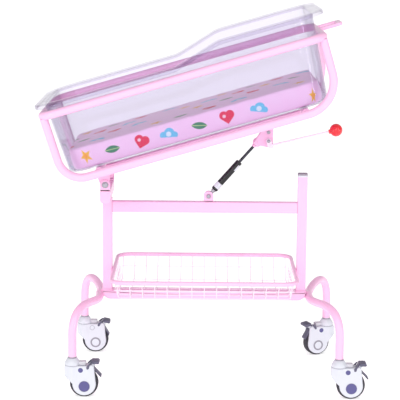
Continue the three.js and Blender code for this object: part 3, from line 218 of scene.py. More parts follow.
# Casters, about the stem, with the wheel trailing along +X. Centres and outlines are (x, z)
TRAIL = 0.031
WHEEL_R = 0.0375
AXLE = (TRAIL, 0, WHEEL_R)
AXLE_PIN = ((0.003, -0.0174), (0.004, -0.0168))
TYRE_WIDTH = 0.024
TYRE_DEPTH = 0.009
TYRE_ROUND = 0.006
TYRE_LIP = 0.002
HOOD_HALF = 0.018
HOOD_INSIDE = 0.013
HOOD_TOP = 0.1037
HOOD_CREST = 0.085
HOOD_BROW = 0.039
HOOD_CORNER = 0.003
HOOD_SWEEP = (0.0595, 0.057)
HOOD_RIM = 0.0038
HOOD_WRAP_Z, HOOD_WRAP_HEIGHT = 0.042, 0.018
LOBE_CENTRE = (0.0315, 0.0365)
LOBE_R = 0.031
HOOD_EAR_R = 0.008
COVER_MIDDLE = (0.018, 0.056)
ROOF = np.array((
    (0.002, 0.0375), (-0.006, 0.0455), (-0.0165, 0.0555), (-0.0198, 0.062), (-0.0198, 0.081),
    (-0.016, 0.0846), (0.010, 0.0846), (0.030, 0.0846), (0.043, 0.0842),
))
ROOF_INSIDE_R = 0.0405
ROOF_INSIDE_END = (0.043, 0.0765)
ROOF_FOOT = 0.0005
DOME_FOOT_R, DOME_TOP_R = 0.0205, 0.013
DOME = ((DOME_FOOT_R - 0.0006, 0.0842), (DOME_FOOT_R, 0.0850), (DOME_FOOT_R, 0.0908), (0.0200, 0.0926),
        (DOME_TOP_R + 0.0010, 0.1028), (DOME_TOP_R - 0.0004, HOOD_TOP), (0.0100, HOOD_TOP))
BLOCK_X, BLOCK_Z = (0.018, 0.036), 0.090
BLOCK_WIDTH, BLOCK_HEIGHT, BLOCK_CORNER = 0.018, 0.010, 0.0015
SEAM_D, SEAM_POINTS = 0.0009, 64
CAP_CENTRE = (0.032, 0.0305)
CAP_R, CAP_HEIGHT = 0.0145, 0.0010
CAP_RING_INSIDE = {"white": 0.0105, "violet": 0.0142}
CAP_RING_R, CAP_RING_HEIGHT = 0.0147, 0.0009
PLUG_CENTRE = (0.0225, 0.074)
PLUG_R, PLUG_HEIGHT, PLUG_DISH = 0.0065, 0.0008, 0.0003
PLUG_RING_INSIDE, PLUG_RING_R, PLUG_RING_HEIGHT = 0.0060, 0.0069, 0.0006
TRIM_SUNK = 0.0004
# Colours of plug and hub cap on a caster's left (-1) and right (1) side
CAP_LOOKS = {
    "foot_near": {-1: ("violet", "violet"), 1: ("white", "white")},
    "head_near": {-1: ("violet", "violet"), 1: ("white", "white")},
    "foot_far": {-1: ("white", "white"), 1: ("violet", "violet")},
    "head_far": {1: ("violet", "white"), -1: ("white", "violet")},
}

# Brake pedals, with outlines about the pedal's pin
PEDAL_PIVOT = (0.050, 0.080)
PRESS_DEG = 12
PEDAL_HALF, PEDAL_PAD_HALF = 0.012, 0.017
PEDAL_PAD_EDGE = 0.0006
PEDAL_ARM = ((-0.0062, -0.002), (-0.0028, -0.0026), (0.0036, 0.0150), (0.0036, 0.0177), (0.0008, 0.0177))
PEDAL_PAD = ((0.004, 0.0105), (0.0195, 0.0105), (0.022, 0.0130), (0.0195, 0.018), (0.001, 0.018))
PEDAL_TAB = ((0.0, -0.003), (0.012, -0.012), (0.0215, -0.0225), (0.0265, -0.027), (0.0268, -0.0225),
             (0.0055, 0.0))
PEDAL_WEB = ((-0.0020, -0.001), (0.0045, -0.0005), (0.0110, 0.0095), (0.0110, 0.0150), (0.0040, 0.0150))
PEDAL_WEB_OUT = 0.0006
PEDAL_EYE = ((0.0045, -PEDAL_HALF), (0.0055, -PEDAL_HALF + 0.001))
PEDAL_PIN = ((0.0022, -0.0176), (0.0025, -0.017))
PEDAL_CHEEK = ((-0.0120, -0.002), (-0.0095, -0.004), (-0.0060, -0.002), (-0.0035, 0.006), (0.0, 0.013),
               (0.0, 0.0155), (-0.0040, 0.013), (-0.0090, 0.008), (-0.0120, 0.004))
PEDAL_CHEEK_Y, PEDAL_CHEEK_THICK, PEDAL_CHEEK_EDGE = (-0.0190, 0.0181), 0.0009, 0.0003
PEDAL_RIB_X, PEDAL_RIB_Z = (0.005, 0.009, 0.013, 0.017), 0.0179
PEDAL_RIB_HALF, PEDAL_RIB_D = 0.0155, 0.0014

# Camera, fitted to the photograph on a 36 mm sensor
CAMERA_AT = (MIDDLE_X - 0.0191, MIDDLE_Y - 4.237, 1.215)
CAMERA_PITCH = 9.73
CAMERA_ROLL = 0.52
CAMERA_LENS = 141.75
SENSOR_WIDTH = 36

# Studio: suns are (name, strength, breadth and turn in degrees)
FLOOR_REACH = 60.0
FLOOR_WHITE = (0.93, 0.93, 0.93, 1)
FLOOR_GLOW = 0.50
WHITE_LIGHT = (1, 1, 1, 1)
SKY = {"From Min": 0.10, "From Max": 0.18, "To Min": 1.0, "To Max": 0.52}
SUNS = (("key", 0.95, 50, (62, 6, -16)), ("fill", 0.25, 70, (55, -10, 35)))
STRIP_WIDTH, STRIP_HEIGHT, STRIP_POWER = 0.12, 1.6, 12
STRIP_ASIDE, STRIP_FRONT, STRIP_LEVEL, STRIP_DEG = 2.3, 2.1, 1.0, 47


def linear(red, green, blue):
    """A screen colour of 0 to 255 as linear light."""
    share = np.array([red, green, blue]) / 255
    light = np.where(share <= 0.04045, share / 12.92, ((share + 0.055) / 1.055) ** 2.4)
    return (*light.tolist(), 1.0)


# Shapes as arrays of points

def in_cot(points):
    """Points in the cot's frame, turned by the tilt about the hinge and set on it."""
    u, y, w = np.moveaxis(np.asarray(points, float), -1, 0)
    c, s = math.cos(TILT), math.sin(TILT)
    return np.stack([HINGE[0] + u * c - w * s, HINGE[1] + y + 0 * u, HINGE[2] + u * s + w * c], -1)


COT_UP = in_cot([(0, 0, 1)])[0] - in_cot([(0, 0, 0)])[0]


def bend(corners, radii, steps=8, closed=False):
    """A run of straight lines with each corner replaced by an arc, of one radius or of its own: points
    on the arc are its centre plus spokes turned evenly from one tangent point to the other."""
    corners = np.asarray(corners, float)
    last = len(corners) - 1
    radii = np.broadcast_to(radii, len(corners))
    share = np.linspace(0, 1, steps + 1)[:, None]
    points = []
    for i, corner in enumerate(corners):
        if not closed and i in (0, last):
            points.append(corner[None])
            continue
        back = corners[i - 1] - corner
        on = corners[(i + 1) % (last + 1)] - corner
        back /= np.linalg.norm(back)
        on /= np.linalg.norm(on)
        half = math.acos(np.clip(back @ on, -1, 1)) / 2
        middle = (back + on) / np.linalg.norm(back + on)
        centre = corner + middle * radii[i] / math.sin(half)
        start = corner + back * radii[i] / math.tan(half) - centre
        end = corner + on * radii[i] / math.tan(half) - centre
        turn = math.pi - 2 * half
        spokes = (np.sin((1 - share) * turn) * start + np.sin(share * turn) * end) / math.sin(turn)
        points.append(centre + spokes)
    return np.concatenate(points)


def circle(diameter, sides):
    """A closed round profile."""
    turn = np.arange(sides) * 2 * math.pi / sides
    return np.stack([np.cos(turn), np.sin(turn)], -1) * diameter / 2


def rectangle(x0, x1, half, z):
    """Four corners at one height, either side of the middle plane."""
    return [(x0, -half, z), (x1, -half, z), (x1, half, z), (x0, half, z)]


def rounded_box(width, height, corner, steps=5):
    """A closed rectangle with quarter-circle corners."""
    turn = np.linspace(0, math.pi / 2, steps + 1)
    quarter = np.stack([np.cos(turn), np.sin(turn)], -1) * corner
    points = []
    for k, (sx, sy) in enumerate(((1, 1), (-1, 1), (-1, -1), (1, -1))):
        c, s = ((1, 0), (0, 1), (-1, 0), (0, -1))[k]
        spoke = quarter @ np.array([[c, s], [-s, c]])
        points.append(spoke + [sx * (width / 2 - corner), sy * (height / 2 - corner)])
    return np.concatenate(points)


def mirrored(half):
    """A turned profile from its first half: the rest is the mirror image, in reverse order."""
    half = np.asarray(half, float)
    return np.concatenate([half, (half * [1, -1])[::-1]])


def carry(profile, path, reference=UPWARDS, closed=False):
    """A profile carried along a path: at each path point its first axis is the reference crossed
    with the path's direction, and its second is square to both. Gives rings of points."""
    path = np.asarray(path, float)
    if closed:
        along = np.roll(path, -1, 0) - np.roll(path, 1, 0)
    else:
        along = np.gradient(path, axis=0)
    along /= np.linalg.norm(along, axis=1, keepdims=True)
    across = np.cross(np.asarray(reference, float), along)
    across /= np.linalg.norm(across, axis=1, keepdims=True)
    up = np.cross(along, across)
    profile = np.broadcast_to(profile, (len(path), *np.shape(profile)[-2:]))
    return path[:, None] + profile[..., :1] * across[:, None] + profile[..., 1:] * up[:, None]


def turned(profile, centre, axis, segments=48):
    """A profile turned round an axis through a centre. Gives rings of points."""
    axis = np.asarray(axis, float) / np.linalg.norm(axis)
    side = np.cross(axis, UPWARDS if abs(axis[2]) < 0.9 else ACROSS)
    side /= np.linalg.norm(side)
    up = np.cross(axis, side)
    turn = np.arange(segments) * 2 * math.pi / segments
    spokes = np.cos(turn)[:, None] * side + np.sin(turn)[:, None] * up
    profile = np.asarray(profile, float)
    return np.asarray(centre) + profile[:, None, :1] * spokes + profile[:, None, 1:] * axis


def skin(rings, closed=False):
    """Quads between neighbouring rings; open ends are closed by a fan to the ring's middle."""
    count, size = rings.shape[:2]
    index = np.arange(count * size).reshape(count, size)
    beside = np.roll(index, -1, 1)
    if closed:
        faces = np.stack([index, beside, np.roll(beside, -1, 0), np.roll(index, -1, 0)], -1)
        return rings.reshape(-1, 3), faces.reshape(-1, 4).tolist()
    faces = np.stack([index[:-1], beside[:-1], beside[1:], index[1:]], -1).reshape(-1, 4).tolist()
    hubs = np.full((2, size), count * size) + np.array([[0], [1]])
    faces += np.stack([hubs[0], beside[0], index[0]], -1).tolist()
    faces += np.stack([hubs[1], index[-1], beside[-1]], -1).tolist()
    points = np.concatenate([rings.reshape(-1, 3), rings[[0, -1]].mean(1)])
    return points, faces


def lathe(profile, centre, axis, segments=48, closed=False):
    """A solid turned from a profile; a closed profile makes a ring."""
    return skin(turned(profile, centre, axis, segments), closed)


def wheel_ring(half_profile, segments):
    """A ring about the axle, turned from half of its closed section."""
    return skin(turned(mirrored(half_profile), AXLE, ACROSS, segments).transpose(1, 0, 2), True)


def tube(path, diameter, sides=28, reference=UPWARDS, closed=False):
    """A round tube along a path."""
    return skin(carry(circle(diameter, sides), path, reference, closed), closed)


def edge_steps(edge, steps=4):
    """Inset and depth of a rounded edge, as a quarter circle from the end face to the side."""
    turn = np.linspace(0, math.pi / 2, steps + 1)
    return edge * (1 - np.sin(turn)), edge * (1 - np.cos(turn))


def bar(start, end, width, height, corner, reference=UPWARDS, edge=0.001):
    """A straight bar of rounded-box section with rounded ends."""
    start, end = np.asarray(start, float), np.asarray(end, float)
    along = (end - start) / np.linalg.norm(end - start)
    inset, depth = edge_steps(edge)
    path = np.concatenate([start + along * depth[:, None], end - along * depth[::-1, None]])
    insets = np.concatenate([inset, inset[::-1]])
    sections = [rounded_box(width - 2 * i, height - 2 * i, corner) for i in insets]
    return skin(carry(np.stack(sections), path, reference))


def evenly(points, count):
    """A closed outline resampled to evenly spaced points."""
    points = np.asarray(points, float)
    loop = np.concatenate([points, points[:1]])
    reach = np.concatenate([[0], np.cumsum(np.linalg.norm(np.diff(loop, axis=0), axis=1))])
    at = np.arange(count) * reach[-1] / count
    return np.stack([np.interp(at, reach, loop[:, k]) for k in (0, 1)], -1)


def inward(loop):
    """Unit normals of a closed outline, towards its inside, whichever way round it runs."""
    along = np.roll(loop, -1, 0) - np.roll(loop, 1, 0)
    normals = np.stack([-along[:, 1], along[:, 0]], -1)
    normals /= np.linalg.norm(normals, axis=1, keepdims=True)
    area = np.sum(loop[:, 0] * np.roll(loop[:, 1], -1) - loop[:, 1] * np.roll(loop[:, 0], -1))
    return normals * np.sign(area)


def plate(outline, y0, y1, edge=0.001, count=96):
    """A flat plate: an outline in X and Z with its corners eased by averaging, carried along Y, with
    its rims rounded by moving the outline along its own inward normals."""
    loop = evenly(outline, count)
    for _ in range(3):
        loop = (np.roll(loop, 1, 0) + 2 * loop + np.roll(loop, -1, 0)) / 4
    inset, depth = edge_steps(edge)
    levels = np.concatenate([[y0], y0 + depth, y1 - depth[::-1], [y1]])
    insets = np.concatenate([[2 * edge], inset, inset[::-1], [2 * edge]])
    rings = loop + insets[:, None, None] * inward(loop)
    ys = np.broadcast_to(levels[:, None], rings.shape[:2])
    return skin(np.stack([rings[..., 0], ys, rings[..., 1]], -1))


def arc(centre, radius, start, end, steps=10):
    """Points on an arc in X and Z, with angles in degrees from +X towards +Z."""
    turn = np.radians(np.linspace(start, end, steps + 1))
    return np.stack([centre[0] + radius * np.cos(turn), centre[1] + radius * np.sin(turn)], -1)


def to_middle(points):
    """Points built about the plane y = 0, set on the object's middle plane."""
    return points + [0, MIDDLE_Y, 0]


def moved(part, place):
    """A part with its points passed through a placing function."""
    return place(part[0]), part[1]


# Materials

class Tree:
    """A new material's nodes, with short spellings for those used here."""

    def __init__(self, name):
        """A material that has only its main shader yet."""
        self.material = bpy.data.materials.new(name)
        self.material.use_nodes = True
        self.nodes = self.material.node_tree.nodes
        self.links = self.material.node_tree.links
        self.main = self.nodes["Principled BSDF"]

    def put(self, node, values):
        """Gives a node's inputs their values: a socket is linked, anything else is set directly."""
        for key, value in values.items():
            if isinstance(value, bpy.types.NodeSocket):
                self.links.new(value, node.inputs[key])
            else:
                node.inputs[key].default_value = value
        return node

    def new(self, kind, values=()):
        """A node of one kind, with values for its inputs."""
        return self.put(self.nodes.new("ShaderNode" + kind), dict(values))

    def object_place(self):
        """The object's own coordinates."""
        return self.new("TexCoord").outputs["Object"]

    def noise(self, place, scale, detail=2.0):
        """Cloudy noise of 0 to 1."""
        return self.new("TexNoise", {"Vector": place, "Scale": scale, "Detail": detail}).outputs["Fac"]

    def relief(self, height, strength, distance):
        """Bumps on the main shader."""
        bump = self.new("Bump", {"Height": height, "Strength": strength, "Distance": distance})
        self.put(self.main, {"Normal": bump.outputs["Normal"]})

    def ramp(self, share, *stops):
        """A blend between two stops of position and colour."""
        node = self.new("ValToRGB", {"Fac": share})
        for element, (position, color) in zip(node.color_ramp.elements, stops):
            element.position = position
            element.color = color
        return node.outputs["Color"]

    def do(self, operation, *values):
        """One Math node on numbers or sockets."""
        node = self.new("Math")
        node.operation = operation
        return self.put(node, dict(enumerate(values))).outputs[0]

    def add(self, a, b):
        """Sum of two values."""
        return self.do("ADD", a, b)

    def sub(self, a, b):
        """The first value less the second."""
        return self.do("SUBTRACT", a, b)

    def mul(self, a, b):
        """Product of two values."""
        return self.do("MULTIPLY", a, b)

    def far(self, x, y, cx=0.0, cy=0.0):
        """Distance of (x, y) from (cx, cy)."""
        dx, dy = self.sub(x, cx), self.sub(y, cy)
        return self.do("SQRT", self.add(self.mul(dx, dx), self.mul(dy, dy)))

    def inside(self, distance, soft=0.012):
        """1 where a distance is below zero, 0 above, with a soft edge."""
        return self.new("MapRange", {"Value": distance, "From Min": soft, "From Max": -soft}).outputs[0]


def finish(name, color, roughness, metallic=0.0, grain=900.0, bump=0.03, mottle=0.06, coat=0.0):
    """A moulded, painted or plated finish: fine grain in the bump and the roughness, and a broad
    faint mottle in the colour, all on the object's own coordinates."""
    tree = Tree(name)
    place = tree.object_place()
    fine = tree.noise(place, grain, 3)
    shade = (*[x * (1 - mottle) for x in color[:3]], 1)
    rough = {"Value": fine, "To Min": max(0.02, roughness - 0.05), "To Max": roughness + 0.05}
    tree.relief(fine, bump, 0.0005)
    tree.put(tree.main, {
        "Base Color": tree.ramp(tree.noise(place, 14, 4), (0.3, shade), (0.7, color)),
        "Roughness": tree.new("MapRange", rough).outputs["Result"],
        "Metallic": metallic,
        "Coat Weight": coat,
        "Coat Roughness": 0.06,
    })
    return tree.material


def clear_plastic():
    """Clear moulded tub: each surface lets most light straight through with a faint violet tint, and
    mirrors more of it towards grazing angles, with a slow waviness in the mirror."""
    tree = Tree("clear_tub")
    tree.relief(tree.noise(tree.object_place(), 9), 0.15, 0.002)
    tree.put(tree.main, {"Base Color": linear(168, 164, 182), "Metallic": 1.0, "Roughness": 0.04})
    through = tree.new("BsdfTransparent", {"Color": linear(247, 245, 250)})
    edge = tree.new("LayerWeight", {"Blend": 0.5})
    steep = tree.do("POWER", edge.outputs["Facing"], 4.0)
    share = tree.add(tree.mul(steep, 0.7), 0.04)
    shaders = {1: through.outputs["BSDF"], 2: tree.main.outputs["BSDF"]}
    mix = tree.new("MixShader", {"Fac": share, **shaders})
    tree.put(tree.nodes["Material Output"], {"Surface": mix.outputs["Shader"]})
    return tree.material


def mattress_cover():
    """Printed waterproof cover: staggered cells of the unfolded surface, each with a heart, a star,
    a cloud or a leaf, turned and shifted by the cell's own noise, over pink with small dots. Inside
    a cell, sizes are shares of it."""
    tree = Tree("mattress_cover")
    do, add, sub, mul = tree.do, tree.add, tree.sub, tree.mul
    far, inside = tree.far, tree.inside
    unfolded = tree.new("UVMap")
    unfolded.uv_map = PRINT_MAP
    flat = unfolded.outputs["UV"]
    split = tree.new("SeparateXYZ", {0: flat})
    row = add(mul(split.outputs[1], 1 / PRINT_CELL), 0.08)
    row_number = do("FLOOR", row)
    stagger = mul(do("FLOORED_MODULO", row_number, 2.0), 0.5)
    column = add(add(mul(split.outputs[0], 1 / PRINT_CELL), stagger), 0.3)
    column_number = do("FLOOR", column)
    number = tree.new("CombineXYZ", {0: column_number, 1: row_number})
    noise = tree.new("TexWhiteNoise")
    noise.noise_dimensions = "2D"
    tree.put(noise, {"Vector": number.outputs[0]})
    spin, aside = tree.new("SeparateColor", {0: noise.outputs["Color"]}).outputs[:2]
    order = add(mul(column_number, 0.382), mul(row_number, 0.27))
    kind = do("FRACT", add(order, 40.1))
    x0 = sub(sub(column, column_number), add(0.42, mul(aside, 0.16)))
    y0 = sub(sub(row, row_number), add(0.47, mul(spin, 0.06)))
    turn = mul(sub(spin, 0.5), 1.2)
    c, s = do("COSINE", turn), do("SINE", turn)
    x = add(mul(x0, c), mul(y0, s))
    y = sub(mul(y0, c), mul(x0, s))

    # Heart: a square on its corner, with a disc on each of its upper sides
    out = do("ABSOLUTE", x)
    square = sub(add(out, do("ABSOLUTE", add(y, 0.025))), 0.205)
    lobes = sub(far(out, y, 0.1025, 0.0775), 0.145)
    heart = inside(do("MINIMUM", mul(square, 0.707), lobes))
    spot = inside(sub(far(x, y, -0.09, 0.05), 0.055))
    # Star: the turn is folded ten times, and a straight line cuts each fold from tip to notch
    fold = do("PINGPONG", do("ARCTAN2", x, y), math.pi / 5)
    tip = mul(do("COSINE", fold), 0.384)
    notch = mul(do("SINE", fold), 0.923)
    cut = sub(mul(far(x, y), add(tip, notch)), 0.1)
    star = inside(cut)
    heart_of_star = inside(add(cut, 0.045))
    # Cloud: three balls on a flat foot
    balls = [sub(far(x, y, cx, cy), r)
             for cx, cy, r in ((-0.17, -0.03, 0.12), (0.02, 0.04, 0.17), (0.19, -0.03, 0.11))]
    puffs = do("MINIMUM", do("MINIMUM", balls[0], balls[1]), balls[2])
    cloud = inside(do("MAXIMUM", puffs, sub(-0.11, y)))
    middle = inside(sub(far(x, y), 0.085))
    # Leaf: where two large discs overlap
    discs = [sub(far(x, y, 0.0, cy), 0.34) for cy in (-0.22, 0.22)]
    leaf = inside(do("MAXIMUM", discs[0], discs[1]))
    vein = mul(leaf, inside(sub(do("ABSOLUTE", y), 0.012), 0.006))
    speck = inside(sub(far(sub(x0, 0.42), add(y0, 0.40)), 0.045))

    def choose(low, high, mask):
        """The mask, only in cells whose kind lies between two limits."""
        return mul(mask, mul(do("GREATER_THAN", kind, low), do("LESS_THAN", kind, high)))

    color = tree.ramp(tree.noise(flat, 30), (0, linear(255, 212, 244)), (1, linear(255, 224, 250)))
    layers = (
        (speck, linear(255, 252, 255)),
        (choose(-0.1, 0.22, heart), linear(236, 40, 84)),
        (choose(-0.1, 0.22, spot), linear(255, 214, 226)),
        (choose(0.22, 0.42, star), linear(255, 206, 70)),
        (choose(0.22, 0.42, heart_of_star), linear(255, 172, 64)),
        (choose(0.42, 0.64, cloud), linear(112, 206, 240)),
        (choose(0.42, 0.64, middle), linear(226, 246, 255)),
        (choose(0.64, 0.84, leaf), linear(62, 140, 100)),
        (choose(0.64, 0.84, vein), linear(190, 224, 150)),
    )
    for mask, ink in layers:
        mix = tree.new("Mix")
        mix.data_type = "RGBA"
        tree.put(mix, {"Factor": mask, 6: color, 7: ink})
        color = mix.outputs[2]
    tree.relief(tree.noise(flat, 26, 6), 0.25, 0.003)
    tree.put(tree.main, {"Base Color": color, "Roughness": 0.42, "Sheen Weight": 0.15})
    return tree.material


PAINT = finish("pink_paint", linear(250, 193, 228), 0.3, grain=1400, bump=0.05, mottle=0.03, coat=0.15)
# Paler copy of the pink paint. It is partly the basket wires' own paler coat and partly painted light,
# lighter than the frame's pink so that thin wires and the lever rod read as brightly lit
PALE_PAINT_WITH_PAINTED_LIGHT = finish("pink_wire_paint", linear(253, 232, 247), 0.32, grain=1600, bump=0.05, coat=0.2)
CLEAR = clear_plastic()
COVER = mattress_cover()
WHITE_PLASTIC = finish("white_plastic", linear(212, 214, 223), 0.3, grain=1200, mottle=0.02)
VIOLET_PLASTIC = finish("violet_plastic", linear(88, 84, 138), 0.42, grain=1500, bump=0.06, mottle=0.08)
PEDAL_PLASTIC = finish("pedal_plastic", linear(92, 89, 112), 0.45, grain=1500, bump=0.08, mottle=0.1)
TREAD = finish("tread_rubber", linear(46, 44, 54), 0.62, grain=1800, bump=0.12, mottle=0.12)
ZINC = finish("zinc_steel", linear(178, 176, 186), 0.34, metallic=0.9, grain=2200, bump=0.05, mottle=0.12)
GAS_BLACK = finish("black_paint", linear(14, 14, 22), 0.34, grain=1500, mottle=0.2, coat=0.1)
ROD_STEEL = finish("rod_steel", linear(70, 70, 78), 0.22, metallic=0.9, grain=2600, mottle=0.1)
RED_PLASTIC = finish("red_plastic", linear(232, 24, 40), 0.16, grain=700, bump=0.01, mottle=0.04, coat=0.5)
PAD_RUBBER = finish("pad_rubber", linear(160, 152, 164), 0.7, grain=1800, bump=0.15, mottle=0.15)
# Painted shade: a grey for the shaded seam under a caster's swivel head and for the shaded recesses round hub
# caps and white plugs
SEAM_SHADE_GREY = finish("groove_grey", linear(148, 145, 156), 0.6, mottle=0.1)
BLOCK_PLASTIC = finish("block_plastic", linear(206, 204, 212), 0.4, grain=1200, mottle=0.04)

CAP_PLASTICS = {"violet": VIOLET_PLASTIC, "white": WHITE_PLASTIC}


# Pieces

def piece(name, body, material, parts, replaces=(), sharp=32):
    """Joins parts into one mesh with faces pointing out, rides it on a body and gives it its material."""
    points, faces, first = [], [], 0
    for part_points, part_faces in parts:
        points.append(part_points)
        faces += [[first + i for i in face] for face in part_faces]
        first += len(part_points)
    mesh = bpy.data.meshes.new(name)
    mesh.from_pydata(np.concatenate(points).tolist(), [], faces)
    form = bmesh.new()
    form.from_mesh(mesh)
    bmesh.ops.recalc_face_normals(form, faces=form.faces)
    form.to_mesh(mesh)
    form.free()
    mesh.polygons.foreach_set("use_smooth", np.ones(len(mesh.polygons), bool))
    mesh.set_sharp_from_angle(angle=math.radians(sharp))
    mesh.materials.append(material)
    made = bpy.data.objects.new(name, mesh)
    bpy.context.scene.collection.objects.link(made)
    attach(made, body)
    if replaces:
        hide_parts(*replaces)
    return made


def box_bar(node, axis, corner):
    """A CAD box as a bar of rounded-box section along one axis."""
    low, high = (np.array(v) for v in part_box(node))
    middle, size = (low + high) / 2, high - low
    start, end = middle.copy(), middle.copy()
    start[axis], end[axis] = low[axis], high[axis]
    reference = UPWARDS if axis != 2 else ACROSS
    width, height = ((size[1], size[2]), (size[0], size[2]), (size[0], size[1]))[axis]
    return bar(start, end, width, height, corner, reference)


def post_weld(node, z):
    """A weld bead round the foot of a post."""
    low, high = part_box(node)
    centre = np.array([(low.x + high.x) / 2, (low.y + high.y) / 2, z])
    loop = rounded_box(POST_WELD, POST_WELD, POST_WELD_CORNER)
    path = np.concatenate([loop, np.zeros((len(loop), 1))], -1) + centre
    return tube(path, WELD_D, 10, closed=True)


def beam_section(low, high, r, steps):
    """Section of a box in X and Z, with broad round corners below and tight ones on top."""
    t = BEAM_TOP_ROUND
    return np.concatenate([
        arc((low.x + r, low.z + r), r, 180, 270, steps),
        arc((high.x - r, low.z + r), r, 270, 360, steps),
        arc((high.x - t, high.z - t), t, 0, 90, 4),
        arc((low.x + t, high.z - t), t, 90, 180, 4),
    ])


def lower_frame():
    """Beams and posts with welded joints, the hinge tube across the foot post, and the rest pad."""
    low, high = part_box("lower_beam")
    r = BEAM_ROUND
    beam = [plate(beam_section(low, high, r, 16), low.y, high.y, BEAM_EDGE, BEAM_POINTS)]
    for end, end_sign in ENDS:
        middle = np.array([(low.x if end_sign < 0 else high.x) - end_sign * r, low.z + r])
        line = np.array([leg_root(end_sign), LEG_ROOT_Z]) - middle
        line /= np.linalg.norm(line)
        for step in (-LEG_WELD_STEP, LEG_WELD_STEP):
            x, z = middle + r * line + step * np.array([-line[1], line[0]])
            ends = [(x, MIDDLE_Y - LEG_WELD_HALF, z), (x, MIDDLE_Y + LEG_WELD_HALF, z)]
            beam.append(tube(ends, WELD_D, 12))
    piece("lower_beam_tube", "frame", PAINT, beam, ["lower_beam"])
    for end, _ in ENDS:
        node = f"{end}_post"
        parts = [box_bar(node, 2, POST_CORNER), post_weld(node, high.z + POST_WELD_LIFT)]
        piece(f"{end}_post_tube", "frame", PAINT, parts, [node])
    piece("upper_beam_tube", "frame", PAINT, [box_bar("upper_beam", 0, POST_CORNER)], ["upper_beam"])
    low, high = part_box("hinge_tube")
    cross = plate(beam_section(low, high, HINGE_TUBE_ROUND, 10), low.y, high.y, BEAM_EDGE)
    piece("hinge_cross_tube", "frame", PAINT, [cross], ["hinge_tube"])
    low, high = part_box("rest_pad")
    x, y, _ = (low + high) / 2
    start, end = ((x, y, low.z - below) for below in POST_CAP_BELOW)
    band = bar(start, end, POST_CAP_SIDE, POST_CAP_SIDE, POST_CAP_CORNER, ACROSS)
    piece("head_post_cap", "frame", WHITE_PLASTIC, [band])
    pad = bar((x, y, low.z - PAD_BELOW), (x, y, high.z), PAD_SIDE, PAD_SIDE, PAD_CORNER, ACROSS)
    piece("rest_pad_cap", "frame", PAD_RUBBER, [pad], ["rest_pad"])


def leg_root(end_sign):
    """Where a leg's centre line crosses the middle plane: its tube touches the beam's rounded corner."""
    low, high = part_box("lower_beam")
    beam_end = low.x if end_sign < 0 else high.x
    touch = BEAM_ROUND + TUBE_D / 2 + LEG_GAP
    below = low.z + BEAM_ROUND - LEG_ROOT_Z
    return beam_end + end_sign * (math.sqrt(touch ** 2 - below ** 2) - BEAM_ROUND)


def leg(end, side, end_sign, side_sign):
    """A bowed leg: a cubic Bezier curve from the low beam's end in the middle plane, over a shoulder
    to above the caster, then straight down, with a grey collar round its foot."""
    x, y, _ = STEMS[f"{end}_{side}"]
    inwards = np.array([end_sign, side_sign]) * LEG_SHOULDER_IN
    points = np.array([
        (leg_root(end_sign), MIDDLE_Y, LEG_ROOT_Z),
        (x - inwards[0], y - inwards[1], LEG_SHOULDER_Z),
        (x, y, LEG_KNEE_Z),
        (x, y, LEG_STRAIGHT_Z),
    ])
    t = np.linspace(0, 1, 48)[:, None]
    bow = ((1 - t) ** 3 * points[0] + 3 * (1 - t) ** 2 * t * points[1]
           + 3 * (1 - t) * t ** 2 * points[2] + t ** 3 * points[3])
    foot = np.array([x, y, LEG_FOOT_Z])
    rings = carry(circle(TUBE_D, 32), np.concatenate([bow, [foot]]), (end_sign, 0, 0.001))
    rings[0, :, 1] = MIDDLE_Y + side_sign * LEG_SEAM
    piece(f"{end}_{side}_leg_tube", "frame", PAINT, [skin(rings)], [f"leg_{end}_{side}"])
    piece(f"{end}_{side}_leg_collar", "frame", ZINC, [lathe(LEG_COLLAR, foot, UPWARDS)])


def hex_bolt(centre, axis, size):
    """A hexagon head with chamfered corners on a washer, and a shank behind it."""
    width, height, shank = size
    r, t = width / 2, 0.0012
    head = [(0.8 * r, height), (0.98 * r, 0.85 * height), (r, 0.78 * height), (r, 0)]
    washer = [(1.25 * r, 0), (1.3 * r, 0.3 * t), (1.3 * r, -t), (0.6 * r, -t)]
    stick = [(0.5 * r, 0), (0.5 * r, -shank)]
    shapes = ((head, 6), (washer, 36), (stick, 24))
    return [lathe(profile, centre, axis, segments) for profile, segments in shapes]


def hinge():
    """Bolted lugs on the hinge tube and the cot's ears between them."""
    for side, sign in SIDES:
        low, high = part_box(f"hinge_lug_{side}")
        x, y = (low.x + high.x) / 2, (low.y + high.y) / 2
        outer, inner = (low.y, low.y + LUG_THICK) if sign < 0 else (high.y, high.y - LUG_THICK)
        shape = np.concatenate([
            [(low.x, low.z), (high.x, low.z)],
            arc((x, HINGE[2]), (high.x - low.x) / 2, 0, 180, 16),
        ])
        shape[:, 1] = np.minimum(shape[:, 1], HINGE[2] + LUG_TOP)
        upright = plate(shape, min(outer, inner), max(outer, inner), PLATE_EDGE)
        z = low.z + LUG_FOOT / 2
        foot = bar((low.x, y, z), (high.x, y, z), high.y - low.y, LUG_FOOT, PLATE_EDGE)
        piece(f"{side}_hinge_lug_plate", "frame", PAINT, [upright, foot], [f"hinge_lug_{side}"])
        seat = np.array([HINGE[0], outer + sign * HINGE_BOLT_OUT, HINGE[2]])
        bolt = hex_bolt(seat, (0, sign, 0), HINGE_BOLT)
        piece(f"{side}_hinge_bolt_head", "frame", ZINC, bolt, [f"hinge_bolt_{side}"])
        y0, y1 = sorted(sign * y for y in EAR_Y)
        top = CROSS_LEVEL - TUBE_D / 2
        ear = np.concatenate([arc((0, 0), EAR_R, 180, 360, 16), [(x, top) for x in EAR_TOP_X]])
        part = moved(plate(ear, y0, y1, PLATE_EDGE), in_cot)
        piece(f"{side}_hinge_ear_plate", "cot", PAINT, [part], [f"hinge_ear_{side}"])


